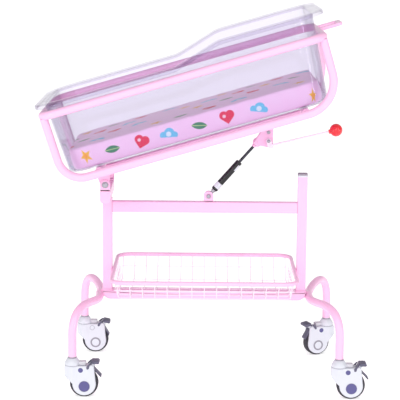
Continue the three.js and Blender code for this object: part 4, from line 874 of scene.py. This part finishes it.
def basket():
    """Rim of thick wire between the posts, and bent wires: each one runs down from the rim, across
    the floor and up again to the rim."""
    a, b = BASKET_MIDDLE - BASKET_HALF_LENGTH, BASKET_MIDDLE + BASKET_HALF_LENGTH
    fa, fb = BASKET_MIDDLE - FLOOR_HALF_LENGTH, BASKET_MIDDLE + FLOOR_HALF_LENGTH
    w, f, z = RIM_WIRE_HALF, FLOOR_HALF_WIDTH, RIM_WIRE_Z
    rim = tube(bend(rectangle(a, b, w, z), RIM_WIRE_BEND, 12, True), RIM_WIRE_D, 18, closed=True)
    cross = []
    for x in np.linspace(fa, fb, CROSS_WIRES):
        straight = abs(x - BASKET_MIDDLE) < BASKET_HALF_LENGTH - RIM_WIRE_BEND
        reach = w - (CROSS_WIRE_IN if straight else CORNER_WIRE_IN)
        run = [(x, -reach, z), (x, -f, CROSS_WIRE_Z), (x, f, CROSS_WIRE_Z), (x, reach, z)]
        cross.append(tube(bend(run, WIRE_BEND, 6), WIRE_D, WIRE_SIDES, (1, 0, 0)))
    long = []
    for y in np.linspace(-f + FLOOR_MARGIN, f - FLOOR_MARGIN, LONG_WIRES):
        run = [(a + LONG_WIRE_IN, y, z), (fa, y, LONG_WIRE_Z), (fb, y, LONG_WIRE_Z), (b - LONG_WIRE_IN, y, z)]
        long.append(tube(bend(run, WIRE_BEND, 6), WIRE_D, WIRE_SIDES, ACROSS))
    level = (CROSS_WIRE_Z + z) / 2
    for y in (-(f + w) / 2, (f + w) / 2):
        run = [(fa - SIDE_WIRE_PAST, y, level), (fb + SIDE_WIRE_PAST, y, level)]
        long.append(tube(run, WIRE_D, WIRE_SIDES))
    level = (LONG_WIRE_Z + z) / 2
    for x in (fa - END_WIRE_OUT, fb + END_WIRE_OUT):
        run = [(x, -f - END_WIRE_PAST, level), (x, f + END_WIRE_PAST, level)]
        long.append(tube(run, WIRE_D, WIRE_SIDES))
    # The cross and long wires take the paler paint copy: partly their own paler coat, partly painted light
    for name, material, parts, walls in (
        ("basket_rim_wire", PAINT, [rim], ["basket_rim"]),
        ("basket_cross_wires", PALE_PAINT_WITH_PAINTED_LIGHT, cross, ["basket_floor", "basket_near_wall", "basket_far_wall"]),
        ("basket_long_wires", PALE_PAINT_WITH_PAINTED_LIGHT, long, ["basket_foot_wall", "basket_head_wall"]),
    ):
        piece(name, "frame", material, [moved(p, to_middle) for p in parts], walls)


def cot_frame():
    """Ring, hoops, cross tubes and spine of the cot, all welded tube, and the flat push handle."""
    corners = rectangle(RING_FOOT, RING_HEAD, RING_HALF, RING_LEVEL)
    path = in_cot(bend(corners, RING_CORNER, 12, True))
    piece("cot_ring_tube", "cot", PAINT, [tube(path, TUBE_D, 32, COT_UP, True)], ["cot_ring"])
    for side, sign in SIDES:
        y, z = sign * HOOP_Y, RING_LEVEL - HOOP_END_DROP
        run = [(RING_FOOT + HOOP_END_IN, y, z), (RING_FOOT + HOOP_TAPER_FOOT, y, HOOP_LEVEL),
               (RING_HEAD - HOOP_TAPER_HEAD, y, HOOP_LEVEL), (RING_HEAD - HOOP_END_IN, y, z)]
        bends = (0, HOOP_BEND_FOOT, HOOP_BEND_HEAD, 0)
        hoop = tube(in_cot(bend(run, bends, 16)), TUBE_D, 32, ACROSS)
        piece(f"{side}_hoop_tube", "cot", PAINT, [hoop], [f"cot_hoop_{side}"])
    half = HOOP_Y - CROSS_SHORT
    for end, x in CROSS_X.items():
        part = tube(in_cot([(x, -half, CROSS_LEVEL), (x, half, CROSS_LEVEL)]), TUBE_D, 32)
        piece(f"{end}_cross_bar", "cot", PAINT, [part], [f"{end}_cross_tube"])
    a, b = CROSS_X["foot"] - SPINE_PAST, CROSS_X["head"] + SPINE_PAST
    start, end = in_cot([(a, 0, SPINE_LEVEL), (b, 0, SPINE_LEVEL)])
    spine = bar(start, end, SPINE_WIDTH, SPINE_HEIGHT, SPINE_CORNER, COT_UP)
    piece("cot_spine_bar", "cot", PAINT, [spine], ["cot_spine"])
    h, x = HANDLE_HALF - HANDLE_BAR / 2, HANDLE_END - HANDLE_BAR / 2
    plan = ((HANDLE_START, -h), (x, -h), (x, h), (HANDLE_START, h))
    run = [(*spot, HANDLE_LEVEL) for spot in plan]
    section = rounded_box(HANDLE_BAR, HANDLE_THICK, HANDLE_CORNER)
    handle = skin(carry(section, in_cot(bend(run, HANDLE_BEND, 6)), COT_UP))
    piece("push_handle_bar", "cot", PAINT, [handle], ["push_handle"])


def plan_loop(x0, x1, half, corner):
    """Plan of a rounded rectangle, anticlockwise from above, with the same number of points on each
    corner and side whatever its size."""
    spots = ((x1 - corner, half - corner), (x0 + corner, half - corner),
             (x0 + corner, corner - half), (x1 - corner, corner - half))
    arcs = []
    for k, (x, y) in enumerate(spots):
        turn = np.linspace(0, math.pi / 2, 15) + k * math.pi / 2
        arcs.append(np.stack([x + corner * np.cos(turn), y + corner * np.sin(turn)], -1))
    loop = []
    for k, count in enumerate((56, 20, 56, 20)):
        share = np.linspace(0, 1, count + 2)[1:-1, None]
        loop += [arcs[k], arcs[k][-1] * (1 - share) + arcs[(k + 1) % 4][0] * share]
    return np.concatenate(loop)


def rim_rise(x):
    """Height that the rim gains: none at the foot, a straight ramp with rounded knees, then level."""
    share = np.clip((x - RAMP_START) / (RAMP_END - RAMP_START), 0, 1)
    edge = np.minimum(share, 1 - share)
    climb = np.where(edge < RAMP_KNEE, edge ** 2 / (2 * RAMP_KNEE), edge - RAMP_KNEE / 2) / (1 - RAMP_KNEE)
    return RIM_RISE * np.where(share < 0.5, climb, 1 - climb)


def rim_ring(inset, drop):
    """A ring round the rim, in from its edge and down from its top."""
    loop = plan_loop(RIM_FOOT + inset, RIM_HEAD - inset, RIM_HALF - inset, RIM_CORNER - inset)
    return np.concatenate([loop, (RIM_LEVEL - drop + rim_rise(loop[:, 0]))[:, None]], -1)


def floor_ring(inset, level):
    """A ring round the foot of the walls."""
    x0 = RIM_FOOT + FLANGE + TAPER_FOOT + inset
    x1 = RIM_HEAD - FLANGE - TAPER_HEAD - inset
    half = RIM_HALF - FLANGE - TAPER_SIDES - inset
    loop = plan_loop(x0, x1, half, RIM_CORNER - FLANGE - inset)
    return np.concatenate([loop, np.full((len(loop), 1), level)], -1)


def tub():
    """Clear tub as one closed skin: out from the floor, up the walls, under the flange, round the
    lip, back over the flange and down inside. Walls run straight between the foot and rim rings."""
    turn = np.linspace(0, math.pi / 2, 6)
    # One less the cosine and one less the sine, step by step through a quarter turn
    rounding = list(zip(1 - np.cos(turn), 1 - np.sin(turn)))
    outer, inner = FLANGE_ROUND, FLANGE_ROUND + WALL
    lip_round = WALL / 2
    share = np.linspace(0, 1, 12)[1:-1, None, None]

    def wall(low, high):
        """Rings evenly spaced between two others."""
        return list(low * (1 - share) + high * share)

    rings = [floor_ring(FLOOR_ROUND * s, FLOOR_LEVEL + FLOOR_ROUND * c) for c, s in rounding]
    rings += wall(rings[-1], rim_ring(FLANGE, WALL + outer))
    rings += [rim_ring(FLANGE - outer * c, WALL + outer * s) for c, s in rounding]
    lip_steps = [rounding[k] for k in (0, 2, 4, 5)]
    rings += [rim_ring(WALL + LIP_INSIDE * s, WALL + LIP_INSIDE * c) for c, s in lip_steps]
    for t in np.linspace(0, math.pi, 7):
        rings.append(rim_ring(lip_round + lip_round * math.cos(t), LIP - lip_round + lip_round * math.sin(t)))
    rings += [rim_ring(LIP_OUTSIDE * c, LIP_OUTSIDE * s) for c, s in rounding]
    rings += [rim_ring(FLANGE + WALL - inner * s, inner * c) for c, s in rounding]
    rings += wall(rings[-1], floor_ring(WALL, FLOOR_LEVEL + FLOOR_ROUND))
    small = FLOOR_ROUND - WALL
    rings += [floor_ring(WALL + small * c, FLOOR_LEVEL + WALL + small * s) for c, s in rounding]
    piece("clear_tub_shell", "tub", CLEAR, [moved(skin(np.stack(rings)), in_cot)], ["tub"], 50)


def mattress():
    """Foam pad in a welded cover. Going up its side, the plan swells with a rounded edge and a
    slight bulge; over the top the plan shrinks to the middle as the height follows a dome. The
    sides are drawn in between the corners, and shallow ripples run off the rounded edges."""
    middle = (MATTRESS_FOOT + MATTRESS_HEAD) / 2
    half_length = (MATTRESS_HEAD - MATTRESS_FOOT) / 2
    loop = plan_loop(MATTRESS_FOOT, MATTRESS_HEAD, MATTRESS_HALF, MATTRESS_CORNER) - [middle, 0]
    along, across = loop[:, 0] / half_length, loop[:, 1] / MATTRESS_HALF
    pull = np.stack([MATTRESS_DRAW * np.clip(1 - across ** 2, 0, 1) * np.sign(along),
                     MATTRESS_DRAW * np.clip(1 - along ** 2, 0, 1) * np.sign(across)], -1)
    loop = loop - pull
    reach = np.concatenate([[0], np.cumsum(np.linalg.norm(np.diff(loop, axis=0), axis=1))])

    # Inset and level of each ring: under the pad, up its side and over the dome
    r = MATTRESS_ROUND
    top = MATTRESS_LOW + MATTRESS_EDGE
    low_turn = np.linspace(-math.pi / 2, 0, 9)
    top_turn = np.linspace(0, math.pi / 2, 9)
    side = np.linspace(0.15, 0.85, 6)
    dome = np.linspace(0, 1, 30)[1:]
    inset = np.concatenate([
        [0.9 * MATTRESS_HALF, 0.6 * MATTRESS_HALF, 0.3 * MATTRESS_HALF],
        r * (1 - np.cos(low_turn)),
        -MATTRESS_BULGE * np.sin(math.pi * side),
        r * (1 - np.cos(top_turn)),
        r + dome * (0.985 * MATTRESS_HALF - r),
    ])
    level = np.concatenate([
        np.full(3, MATTRESS_LOW),
        MATTRESS_LOW + r * (1 + np.sin(low_turn)),
        MATTRESS_LOW + r + (MATTRESS_EDGE - 2 * r) * side,
        top - r + r * np.sin(top_turn),
        top + MATTRESS_CROWN * np.sin(dome * math.pi / 2),
    ])
    keep = np.stack([1 - inset / half_length, 1 - inset / MATTRESS_HALF], -1)
    rings = loop * keep[:, None, :] + [middle, 0]
    edge = np.exp(-((level - top + r) / RIPPLE_BAND) ** 2) * (inset < RIPPLE_REACH)
    ripple = RIPPLE * np.sin(reach * 95) * np.sin(reach * 23 + 1.3)
    heights = level[:, None] + edge[:, None] * ripple
    points = np.concatenate([rings, heights[..., None]], -1)
    pad = piece("mattress_pad", "mattress", COVER, [moved(skin(points), in_cot)], ["mattress"], 60)

    # Unfolded surface: plan place, pushed outwards by the way down the side
    step = np.hypot(np.diff(inset), np.diff(level))
    down = np.concatenate([[0], np.cumsum(step)])
    crest = np.argmax(level >= top - 1e-9)
    out = np.clip(down[crest] - down, 0, None)
    outward = np.stack([along, across], -1) ** 9
    outward /= np.linalg.norm(outward, axis=1, keepdims=True) + 1e-9
    plan = loop * keep[crest] + [middle, 0]
    flat = np.where(out[:, None, None] > 0, plan + outward * out[:, None, None], rings)
    flat = np.concatenate([flat.reshape(-1, 2), flat[[0, -1]].mean(1)])
    corner = np.empty(len(pad.data.loops), np.int32)
    pad.data.loops.foreach_get("vertex_index", corner)
    layer = pad.data.uv_layers.new(name=PRINT_MAP)
    layer.data.foreach_set("uv", flat[corner].astype(np.float32).ravel())


def gas_spring():
    """Black pressure tube with a bare white band and steel ends, and a steel rod with its eye."""
    line = GAS_LINE / np.linalg.norm(GAS_LINE)
    tube_skin = lathe(GAS_TUBE, GAS_FOOT, line, 40)
    piece("gas_tube_body", "gas_tube", GAS_BLACK, [tube_skin], ["gas_cylinder"])
    piece("gas_tube_band", "gas_tube", WHITE_PLASTIC, [lathe(GAS_BAND, GAS_FOOT, line, 40, True)])
    eye = lathe(mirrored(GAS_EYE), GAS_FOOT, ACROSS, 32, True)
    piece("gas_tube_eye", "gas_tube", ZINC, [lathe(GAS_NECK, GAS_FOOT, line, 24), eye])
    turn = np.radians(np.linspace(*GAS_PATCH_DEG, 24))
    spokes = np.cos(turn)[:, None] * [0, -1, 0] + np.sin(turn)[:, None] * [line[2], 0, -line[0]]
    patch = GAS_FOOT + GAS_PATCH[:, None, :1] * spokes + GAS_PATCH[:, None, 1:] * line
    piece("gas_tube_patch", "gas_tube", WHITE_PLASTIC, [skin(patch)])
    piece("gas_rod_shaft", "gas_piston", ROD_STEEL, [lathe(GAS_ROD, GAS_FOOT, line, 24)], ["gas_rod"])
    eye = lathe(mirrored(ROD_EYE), GAS_FOOT + line * GAS_LENGTH, ACROSS, 36, True)
    piece("gas_rod_eye", "gas_piston", PAINT, [lathe(ROD_COLLAR, GAS_FOOT, line, 24), eye])
    low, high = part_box("gas_clevis")
    r = (high.x - low.x) / 2
    round_top = arc((GAS_FOOT[0], GAS_FOOT[2]), r, 0, 180, 20)
    cheek = np.concatenate([[(low.x, low.z), (high.x, low.z)], round_top])
    parts = [plate(cheek, low.y, low.y + CLEVIS_CHEEK, PLATE_EDGE),
             plate(cheek, high.y - CLEVIS_CHEEK, high.y, PLATE_EDGE)]
    y, z = (low.y + high.y) / 2, low.z + CLEVIS_FOOT / 2
    parts.append(bar((low.x, y, z), (high.x, y, z), high.y - low.y, CLEVIS_FOOT, CLEVIS_CORNER))
    piece("gas_clevis_cheeks", "frame", PAINT, parts, ["gas_clevis"])
    seat = np.array([GAS_FOOT[0], low.y - FOOT_PIN_OUT, GAS_FOOT[2]])
    pin = [lathe(FOOT_PIN, seat, ACROSS, 24), lathe(FOOT_PIN_HEAD, seat, ACROSS, 32)]
    piece("gas_foot_pin_head", "frame", ZINC, pin, ["gas_foot_pin"])


def lever():
    """Bracket of two plates under the spine, the upper gas pin, and the release lever with its ball."""
    c, s = math.cos(TILT), math.sin(TILT)
    out = LEVER_PIVOT - HINGE
    pivot = np.array([out[0] * c + out[2] * s, out[2] * c - out[0] * s])
    left, right = BRACKET_TOP_X
    shape = np.concatenate([
        [(left, BRACKET_TOP)],
        arc(BRACKET_TIP, BRACKET_TIP_R, 108, 279, 14),
        [BRACKET_HEEL, (right, BRACKET_TOP)],
    ])
    parts = [moved(plate(shape, y, y + BRACKET_PLATE, PLATE_EDGE, 140), in_cot) for y in BRACKET_PLATE_Y]
    z = BRACKET_TOP - BRACKET_PLATE / 2
    start, end = in_cot([(left, 0, z), (right, 0, z)])
    parts.append(bar(start, end, BRACKET_BRIDGE, BRACKET_PLATE, CLEVIS_CORNER, COT_UP))
    piece("lever_bracket_plates", "cot", PAINT, parts, ["lever_bracket"])
    tip = in_cot([(BRACKET_TIP[0], 0, BRACKET_TIP[1])])[0]
    piece("gas_head_pin_bar", "cot", PAINT, [lathe(mirrored(HEAD_PIN), tip, ACROSS, 24)], ["gas_head_pin"])
    seat = in_cot([(pivot[0], LEVER_BOLT_Y, pivot[1])])[0]
    piece("lever_bolt_head", "cot", ZINC, hex_bolt(seat, (0, -1, 0), LEVER_BOLT), ["lever_bolt"])
    seat = in_cot([BRACKET_BOLT_AT])[0]
    piece("bracket_bolt_head", "cot", ZINC, hex_bolt(seat, (0, -1, 0), BRACKET_BOLT))
    root = np.array([pivot[0], LEVER_Y, LEVER_ROOT])
    arm = np.concatenate([
        arc(pivot, LEVER_ARM_R, 0, 180, 12), arc(root[[0, 2]], LEVER_ARM_R, 180, 360, 12),
    ])
    line = (LEVER_BALL - root) / np.linalg.norm(LEVER_BALL - root)
    parts = [moved(plate(arm, *LEVER_ARM_Y), in_cot),
             tube(in_cot([root, LEVER_BALL - LEVER_ROD_SHORT * line]), LEVER_ROD_D, 20, ACROSS)]
    # Painted light: the lever wears the paler copy of the pink paint, lighter than the frame's, so that its
    # thin rod reads as brightly lit
    piece("release_lever_arm", "lever", PALE_PAINT_WITH_PAINTED_LIGHT, parts, ["release_lever"])
    turn = np.linspace(-math.pi / 2, math.pi / 2, 40)[1:-1]
    sphere = np.stack([KNOB_R * np.cos(turn), KNOB_R * np.sin(turn)], -1)
    centre, back = in_cot([LEVER_BALL, LEVER_BALL - line])
    knob = [lathe(sphere, centre, centre - back, 56), lathe(KNOB_NECK, centre, centre - back, 32)]
    piece("lever_knob_ball", "lever", RED_PLASTIC, knob, ["lever_knob"])


def hood_outline():
    """Side view of a caster's cover: the swivel head, a sweep down to the round lower lobe, up to the
    ear that holds the pedal's pin, and back along the brow."""
    t = np.linspace(0, 1, 10)[:, None]
    start, knee = (np.array([-DOME_FOOT_R, z]) for z in HOOD_SWEEP)
    end = np.array([LOBE_CENTRE[0] - LOBE_R, LOBE_CENTRE[1]])
    r = HOOD_CORNER
    return np.concatenate([
        arc((r - DOME_FOOT_R, HOOD_CREST - r), r, 90, 180, 4),
        (1 - t) ** 2 * start + 2 * (1 - t) * t * knee + t ** 2 * end,
        arc(LOBE_CENTRE, LOBE_R, 180, 374, 30),
        arc(PEDAL_PIVOT, HOOD_EAR_R, 0, 90, 8),
        [(HOOD_BROW, HOOD_CREST)],
    ])


def cover_part(sign):
    """One cover of a caster: the outline with a deep rounded outer rim and a flat inner face. Its
    outer face is flat too, and wraps round the stem like a cylinder below the swivel head."""
    loop = evenly(hood_outline(), 140)
    inset, depth = edge_steps(HOOD_RIM, 6)
    shares = np.concatenate([np.zeros(3), 1 - depth[::-1] / (HOOD_HALF - HOOD_INSIDE), np.ones(8)])
    rims = loop + np.concatenate([[0], inset[::-1]])[:, None, None] * inward(loop)
    back = COVER_MIDDLE + (rims[0] - COVER_MIDDLE) * np.array([0.01, 0.5])[:, None, None]
    front = COVER_MIDDLE + (rims[-1] - COVER_MIDDLE) * np.linspace(0.875, 0.01, 8)[:, None, None]
    rings = np.concatenate([back, rims, front])
    x, z = rings[..., 0], rings[..., 1]
    wrap = np.sqrt(np.clip(DOME_FOOT_R ** 2 - x ** 2, 0, None))
    face = np.where(x < 0, np.maximum(wrap, HOOD_INSIDE + 0.001), np.maximum(wrap, HOOD_HALF))
    face = HOOD_HALF + (face - HOOD_HALF) * np.clip((z - HOOD_WRAP_Z) / HOOD_WRAP_HEIGHT, 0, 1)
    ys = sign * (HOOD_INSIDE + shares[:, None] * (face - HOOD_INSIDE))
    return skin(np.stack([x, ys, z], -1))


def roof_part():
    """Bridge between a caster's covers: a box section whose outer edge follows the outline and whose
    inner edge is an arc round the wheel."""
    from_axle = ROOF - [TRAIL, WHEEL_R]
    angle = np.arctan2(from_axle[:, 1], from_axle[:, 0])
    inside = np.stack([TRAIL + ROOF_INSIDE_R * np.cos(angle), WHEEL_R + ROOF_INSIDE_R * np.sin(angle)], -1)
    inside[0], inside[-1] = ROOF[0] + [ROOF_FOOT, 0], ROOF_INSIDE_END
    section = np.stack([ROOF, ROOF, inside, inside], 1)
    half = HOOD_INSIDE + 0.001
    ys = np.broadcast_to([-half, half, half, -half], section.shape[:2])
    return skin(np.stack([section[..., 0], ys, section[..., 1]], -1))


def disc(centre, sign, radius, height, dish=0.0):
    """A low round cap on a cover, with a rounded rim, and dished in the middle if asked."""
    profile = [
        (radius, -0.0006), (radius, 0.5 * height), (0.96 * radius, 0.85 * height), (0.88 * radius, height),
        (0.6 * radius, height - dish), (0.1 * radius, height - 1.3 * dish),
    ]
    return lathe(profile, (centre[0], sign * (HOOD_HALF - TRIM_SUNK), centre[1]), (0, sign, 0), 40)


def ring_part(centre, sign, inner, outer, height):
    """A flat raised ring on a cover."""
    profile = [(inner, -TRIM_SUNK), (inner, height), (outer, height), (outer, -TRIM_SUNK)]
    return lathe(profile, (centre[0], sign * HOOD_HALF, centre[1]), (0, sign, 0), 48, True)


def caster(corner):
    """One caster: hood, caps and dots, axle ends, wheel, tyre and brake pedal, turned about its stem
    so that the pedal's pin lies along the pin's axis in the frame."""
    stem = STEMS[corner]
    brake = JOINTS[f"brake_{corner}"]
    pin_axis = brake["axis"]
    hood_body, wheel_body = f"caster_{corner}", f"wheel_{corner}"

    def place(p):
        """Points about the stem, turned with the caster and set under its leg."""
        x, y, z = np.moveaxis(p, -1, 0)
        return np.stack([stem[0] + x * pin_axis[1] + y * pin_axis[0],
                         stem[1] - x * pin_axis[0] + y * pin_axis[1], z], -1)

    def put(name, body, material, parts, node=None, sharp=32):
        """A piece of this caster, in place of a node of the same corner if one is given."""
        replaces = [f"{node}_{corner}"] if node else ()
        piece(f"{corner}_{name}", body, material, [moved(p, place) for p in parts], replaces, sharp)

    hood = [cover_part(-1), cover_part(1), roof_part(), lathe(DOME, (0, 0, 0), UPWARDS)]
    put("hood_shell", hood_body, WHITE_PLASTIC, hood, "caster_hood", 40)
    start, end = ((x, 0, BLOCK_Z) for x in BLOCK_X)
    put("hood_block", hood_body, BLOCK_PLASTIC, [bar(start, end, BLOCK_WIDTH, BLOCK_HEIGHT, BLOCK_CORNER)])
    # Painted shade: a grey ring round the foot of the swivel head stands for the shaded groove of the seam
    # there
    loop = np.pad(circle(2 * DOME_FOOT_R, SEAM_POINTS), ((0, 0), (0, 1)), constant_values=HOOD_CREST)
    put("hood_seam", hood_body, SEAM_SHADE_GREY, [tube(loop, SEAM_D, 8, closed=True)])
    for sign, (plug, cap) in CAP_LOOKS[corner].items():
        tag = "left" if sign < 0 else "right"
        part = disc(CAP_CENTRE, sign, CAP_R, CAP_HEIGHT)
        put(f"{tag}_hub_cap", hood_body, CAP_PLASTICS[cap], [part])
        part = disc(PLUG_CENTRE, sign, PLUG_R, PLUG_HEIGHT, PLUG_DISH)
        put(f"{tag}_hood_plug", hood_body, CAP_PLASTICS[plug], [part])
        # Painted shade: grey rings round each hub cap, and round a white plug, stand for the shaded recess at
        # their edges
        rings = [ring_part(CAP_CENTRE, sign, CAP_RING_INSIDE[cap], CAP_RING_R, CAP_RING_HEIGHT)]
        if plug == "white":
            rings.append(ring_part(PLUG_CENTRE, sign, PLUG_RING_INSIDE, PLUG_RING_R, PLUG_RING_HEIGHT))
        put(f"{tag}_cap_ring", hood_body, SEAM_SHADE_GREY, rings)
    put("axle_pin", hood_body, ZINC, [lathe(mirrored(AXLE_PIN), AXLE, ACROSS, 24)], "caster_axle")

    half, inner = TYRE_WIDTH / 2, WHEEL_R - TYRE_DEPTH
    turn = np.linspace(0, math.pi / 2, 6)
    shoulder = np.stack([WHEEL_R - TYRE_ROUND + TYRE_ROUND * np.sin(turn),
                         -half + TYRE_ROUND - TYRE_ROUND * np.cos(turn)], -1)
    tread = np.concatenate([[(inner, -half + TYRE_LIP)], shoulder])
    put("tyre_tread", wheel_body, TREAD, [wheel_ring(tread, 72)], "tyre")
    rim = [(0.0045, -half), (0.013, -half), (0.014, -0.007), (inner - 0.004, -0.006),
           (inner - 0.0003, -half + TYRE_LIP)]
    put("wheel_rim", wheel_body, WHITE_PLASTIC, [wheel_ring(rim, 48)], "wheel_hub")
    pedal(corner, place, math.radians(PRESS_DEG if brake["range_deg"][0] < 0 else 0))


def pedal(corner, place, angle):
    """Brake pedal: a dark arm from its pin to a ribbed pad, a white web between them, and a tab that
    bends down round the tread. All are turned about the pin by the pressed angle."""
    px, pz = PEDAL_PIVOT
    c, s = math.cos(angle), math.sin(angle)

    def press(p):
        """Points of the released pedal, turned about its pin and placed with the caster."""
        x, y, z = np.moveaxis(p - [px, 0, pz], -1, 0)
        return place(np.stack([x * c + z * s + px, y, z * c - x * s + pz], -1))

    def slab(outline, y0, y1, edge=PLATE_EDGE):
        """A plate from an outline about the pin."""
        return plate(np.array(outline) + [px, pz], y0, y1, edge)

    dark = [slab(PEDAL_ARM, -PEDAL_HALF, PEDAL_HALF),
            slab(PEDAL_PAD, -PEDAL_PAD_HALF, PEDAL_PAD_HALF, PEDAL_PAD_EDGE),
            slab(PEDAL_TAB, -PEDAL_HALF, PEDAL_HALF)]
    dark += [lathe(mirrored(profile), (px, 0, pz), ACROSS, 28) for profile in (PEDAL_EYE, PEDAL_PIN)]
    dark += [slab(PEDAL_CHEEK, y, y + PEDAL_CHEEK_THICK, PEDAL_CHEEK_EDGE) for y in PEDAL_CHEEK_Y]
    for x in PEDAL_RIB_X:
        run = [(px + x, y, pz + PEDAL_RIB_Z) for y in (-PEDAL_RIB_HALF, PEDAL_RIB_HALF)]
        dark.append(tube(run, PEDAL_RIB_D, 8))
    body, node = f"pedal_{corner}", f"brake_pedal_{corner}"
    piece(f"{corner}_pedal_plate", body, PEDAL_PLASTIC, [moved(p, press) for p in dark], [node])
    web = slab(PEDAL_WEB, -PEDAL_HALF - PEDAL_WEB_OUT, PEDAL_HALF + PEDAL_WEB_OUT)
    piece(f"{corner}_pedal_web", body, WHITE_PLASTIC, [moved(web, press)])


def shown(name, data):
    """A new object in the scene."""
    made = bpy.data.objects.new(name, data)
    bpy.context.scene.collection.objects.link(made)
    return made


def studio():
    """Pale floor, a sky that is brighter at the horizon, two soft suns, two strip lights and the
    camera fitted to the photograph."""
    scene = bpy.context.scene
    mesh = bpy.data.meshes.new("floor")
    mesh.from_pydata(rectangle(-FLOOR_REACH, FLOOR_REACH, FLOOR_REACH, 0), [], [(0, 1, 2, 3)])
    floor = shown("floor", mesh)
    ground = finish("floor_white", FLOOR_WHITE, 0.8, grain=40, bump=0.0, mottle=0.01)
    glow = ground.node_tree.nodes["Principled BSDF"]
    glow.inputs["Emission Color"].default_value = WHITE_LIGHT
    glow.inputs["Emission Strength"].default_value = FLOOR_GLOW
    mesh.materials.append(ground)
    world = bpy.data.worlds.new("studio")
    world.use_nodes = True
    nodes, links = world.node_tree.nodes, world.node_tree.links
    place = nodes.new("ShaderNodeTexCoord")
    split = nodes.new("ShaderNodeSeparateXYZ")
    links.new(place.outputs["Generated"], split.inputs[0])
    sky = nodes.new("ShaderNodeMapRange")
    for name, value in SKY.items():
        sky.inputs[name].default_value = value
    links.new(split.outputs["Z"], sky.inputs["Value"])
    links.new(sky.outputs["Result"], nodes["Background"].inputs["Strength"])
    nodes["Background"].inputs["Color"].default_value = WHITE_LIGHT
    scene.world = world
    for name, energy, breadth, turn in SUNS:
        light = bpy.data.lights.new(name, "SUN")
        light.energy = energy
        light.angle = math.radians(breadth)
        shown(name, light).rotation_euler = [math.radians(t) for t in turn]
    for name, side in (("left_strip", -1), ("right_strip", 1)):
        light = bpy.data.lights.new(name, "AREA")
        light.shape = "RECTANGLE"
        light.size, light.size_y = STRIP_WIDTH, STRIP_HEIGHT
        light.energy = STRIP_POWER
        at = Matrix.Translation((MIDDLE_X + side * STRIP_ASIDE, MIDDLE_Y - STRIP_FRONT, STRIP_LEVEL))
        aim = Matrix.Rotation(side * math.radians(STRIP_DEG), 4, "Z") @ Matrix.Rotation(math.pi / 2, 4, "X")
        shown(name, light).matrix_world = at @ aim
    lens = bpy.data.cameras.new("camera")
    lens.lens = CAMERA_LENS
    lens.sensor_width = SENSOR_WIDTH
    camera = shown("camera", lens)
    tip = Matrix.Rotation(math.radians(90 - CAMERA_PITCH), 4, "X")
    roll = Matrix.Rotation(math.radians(CAMERA_ROLL), 4, "Z")
    camera.matrix_world = Matrix.Translation(CAMERA_AT) @ tip @ roll
    scene.camera = camera
    scene.view_settings.view_transform = "Standard"


studio()
lower_frame()
for leg_end, leg_end_sign in ENDS:
    for leg_side, leg_side_sign in SIDES:
        leg(leg_end, leg_side, leg_end_sign, leg_side_sign)
hinge()
basket()
cot_frame()
tub()
mattress()
gas_spring()
lever()
for caster_corner in CORNERS:
    caster(caster_corner)
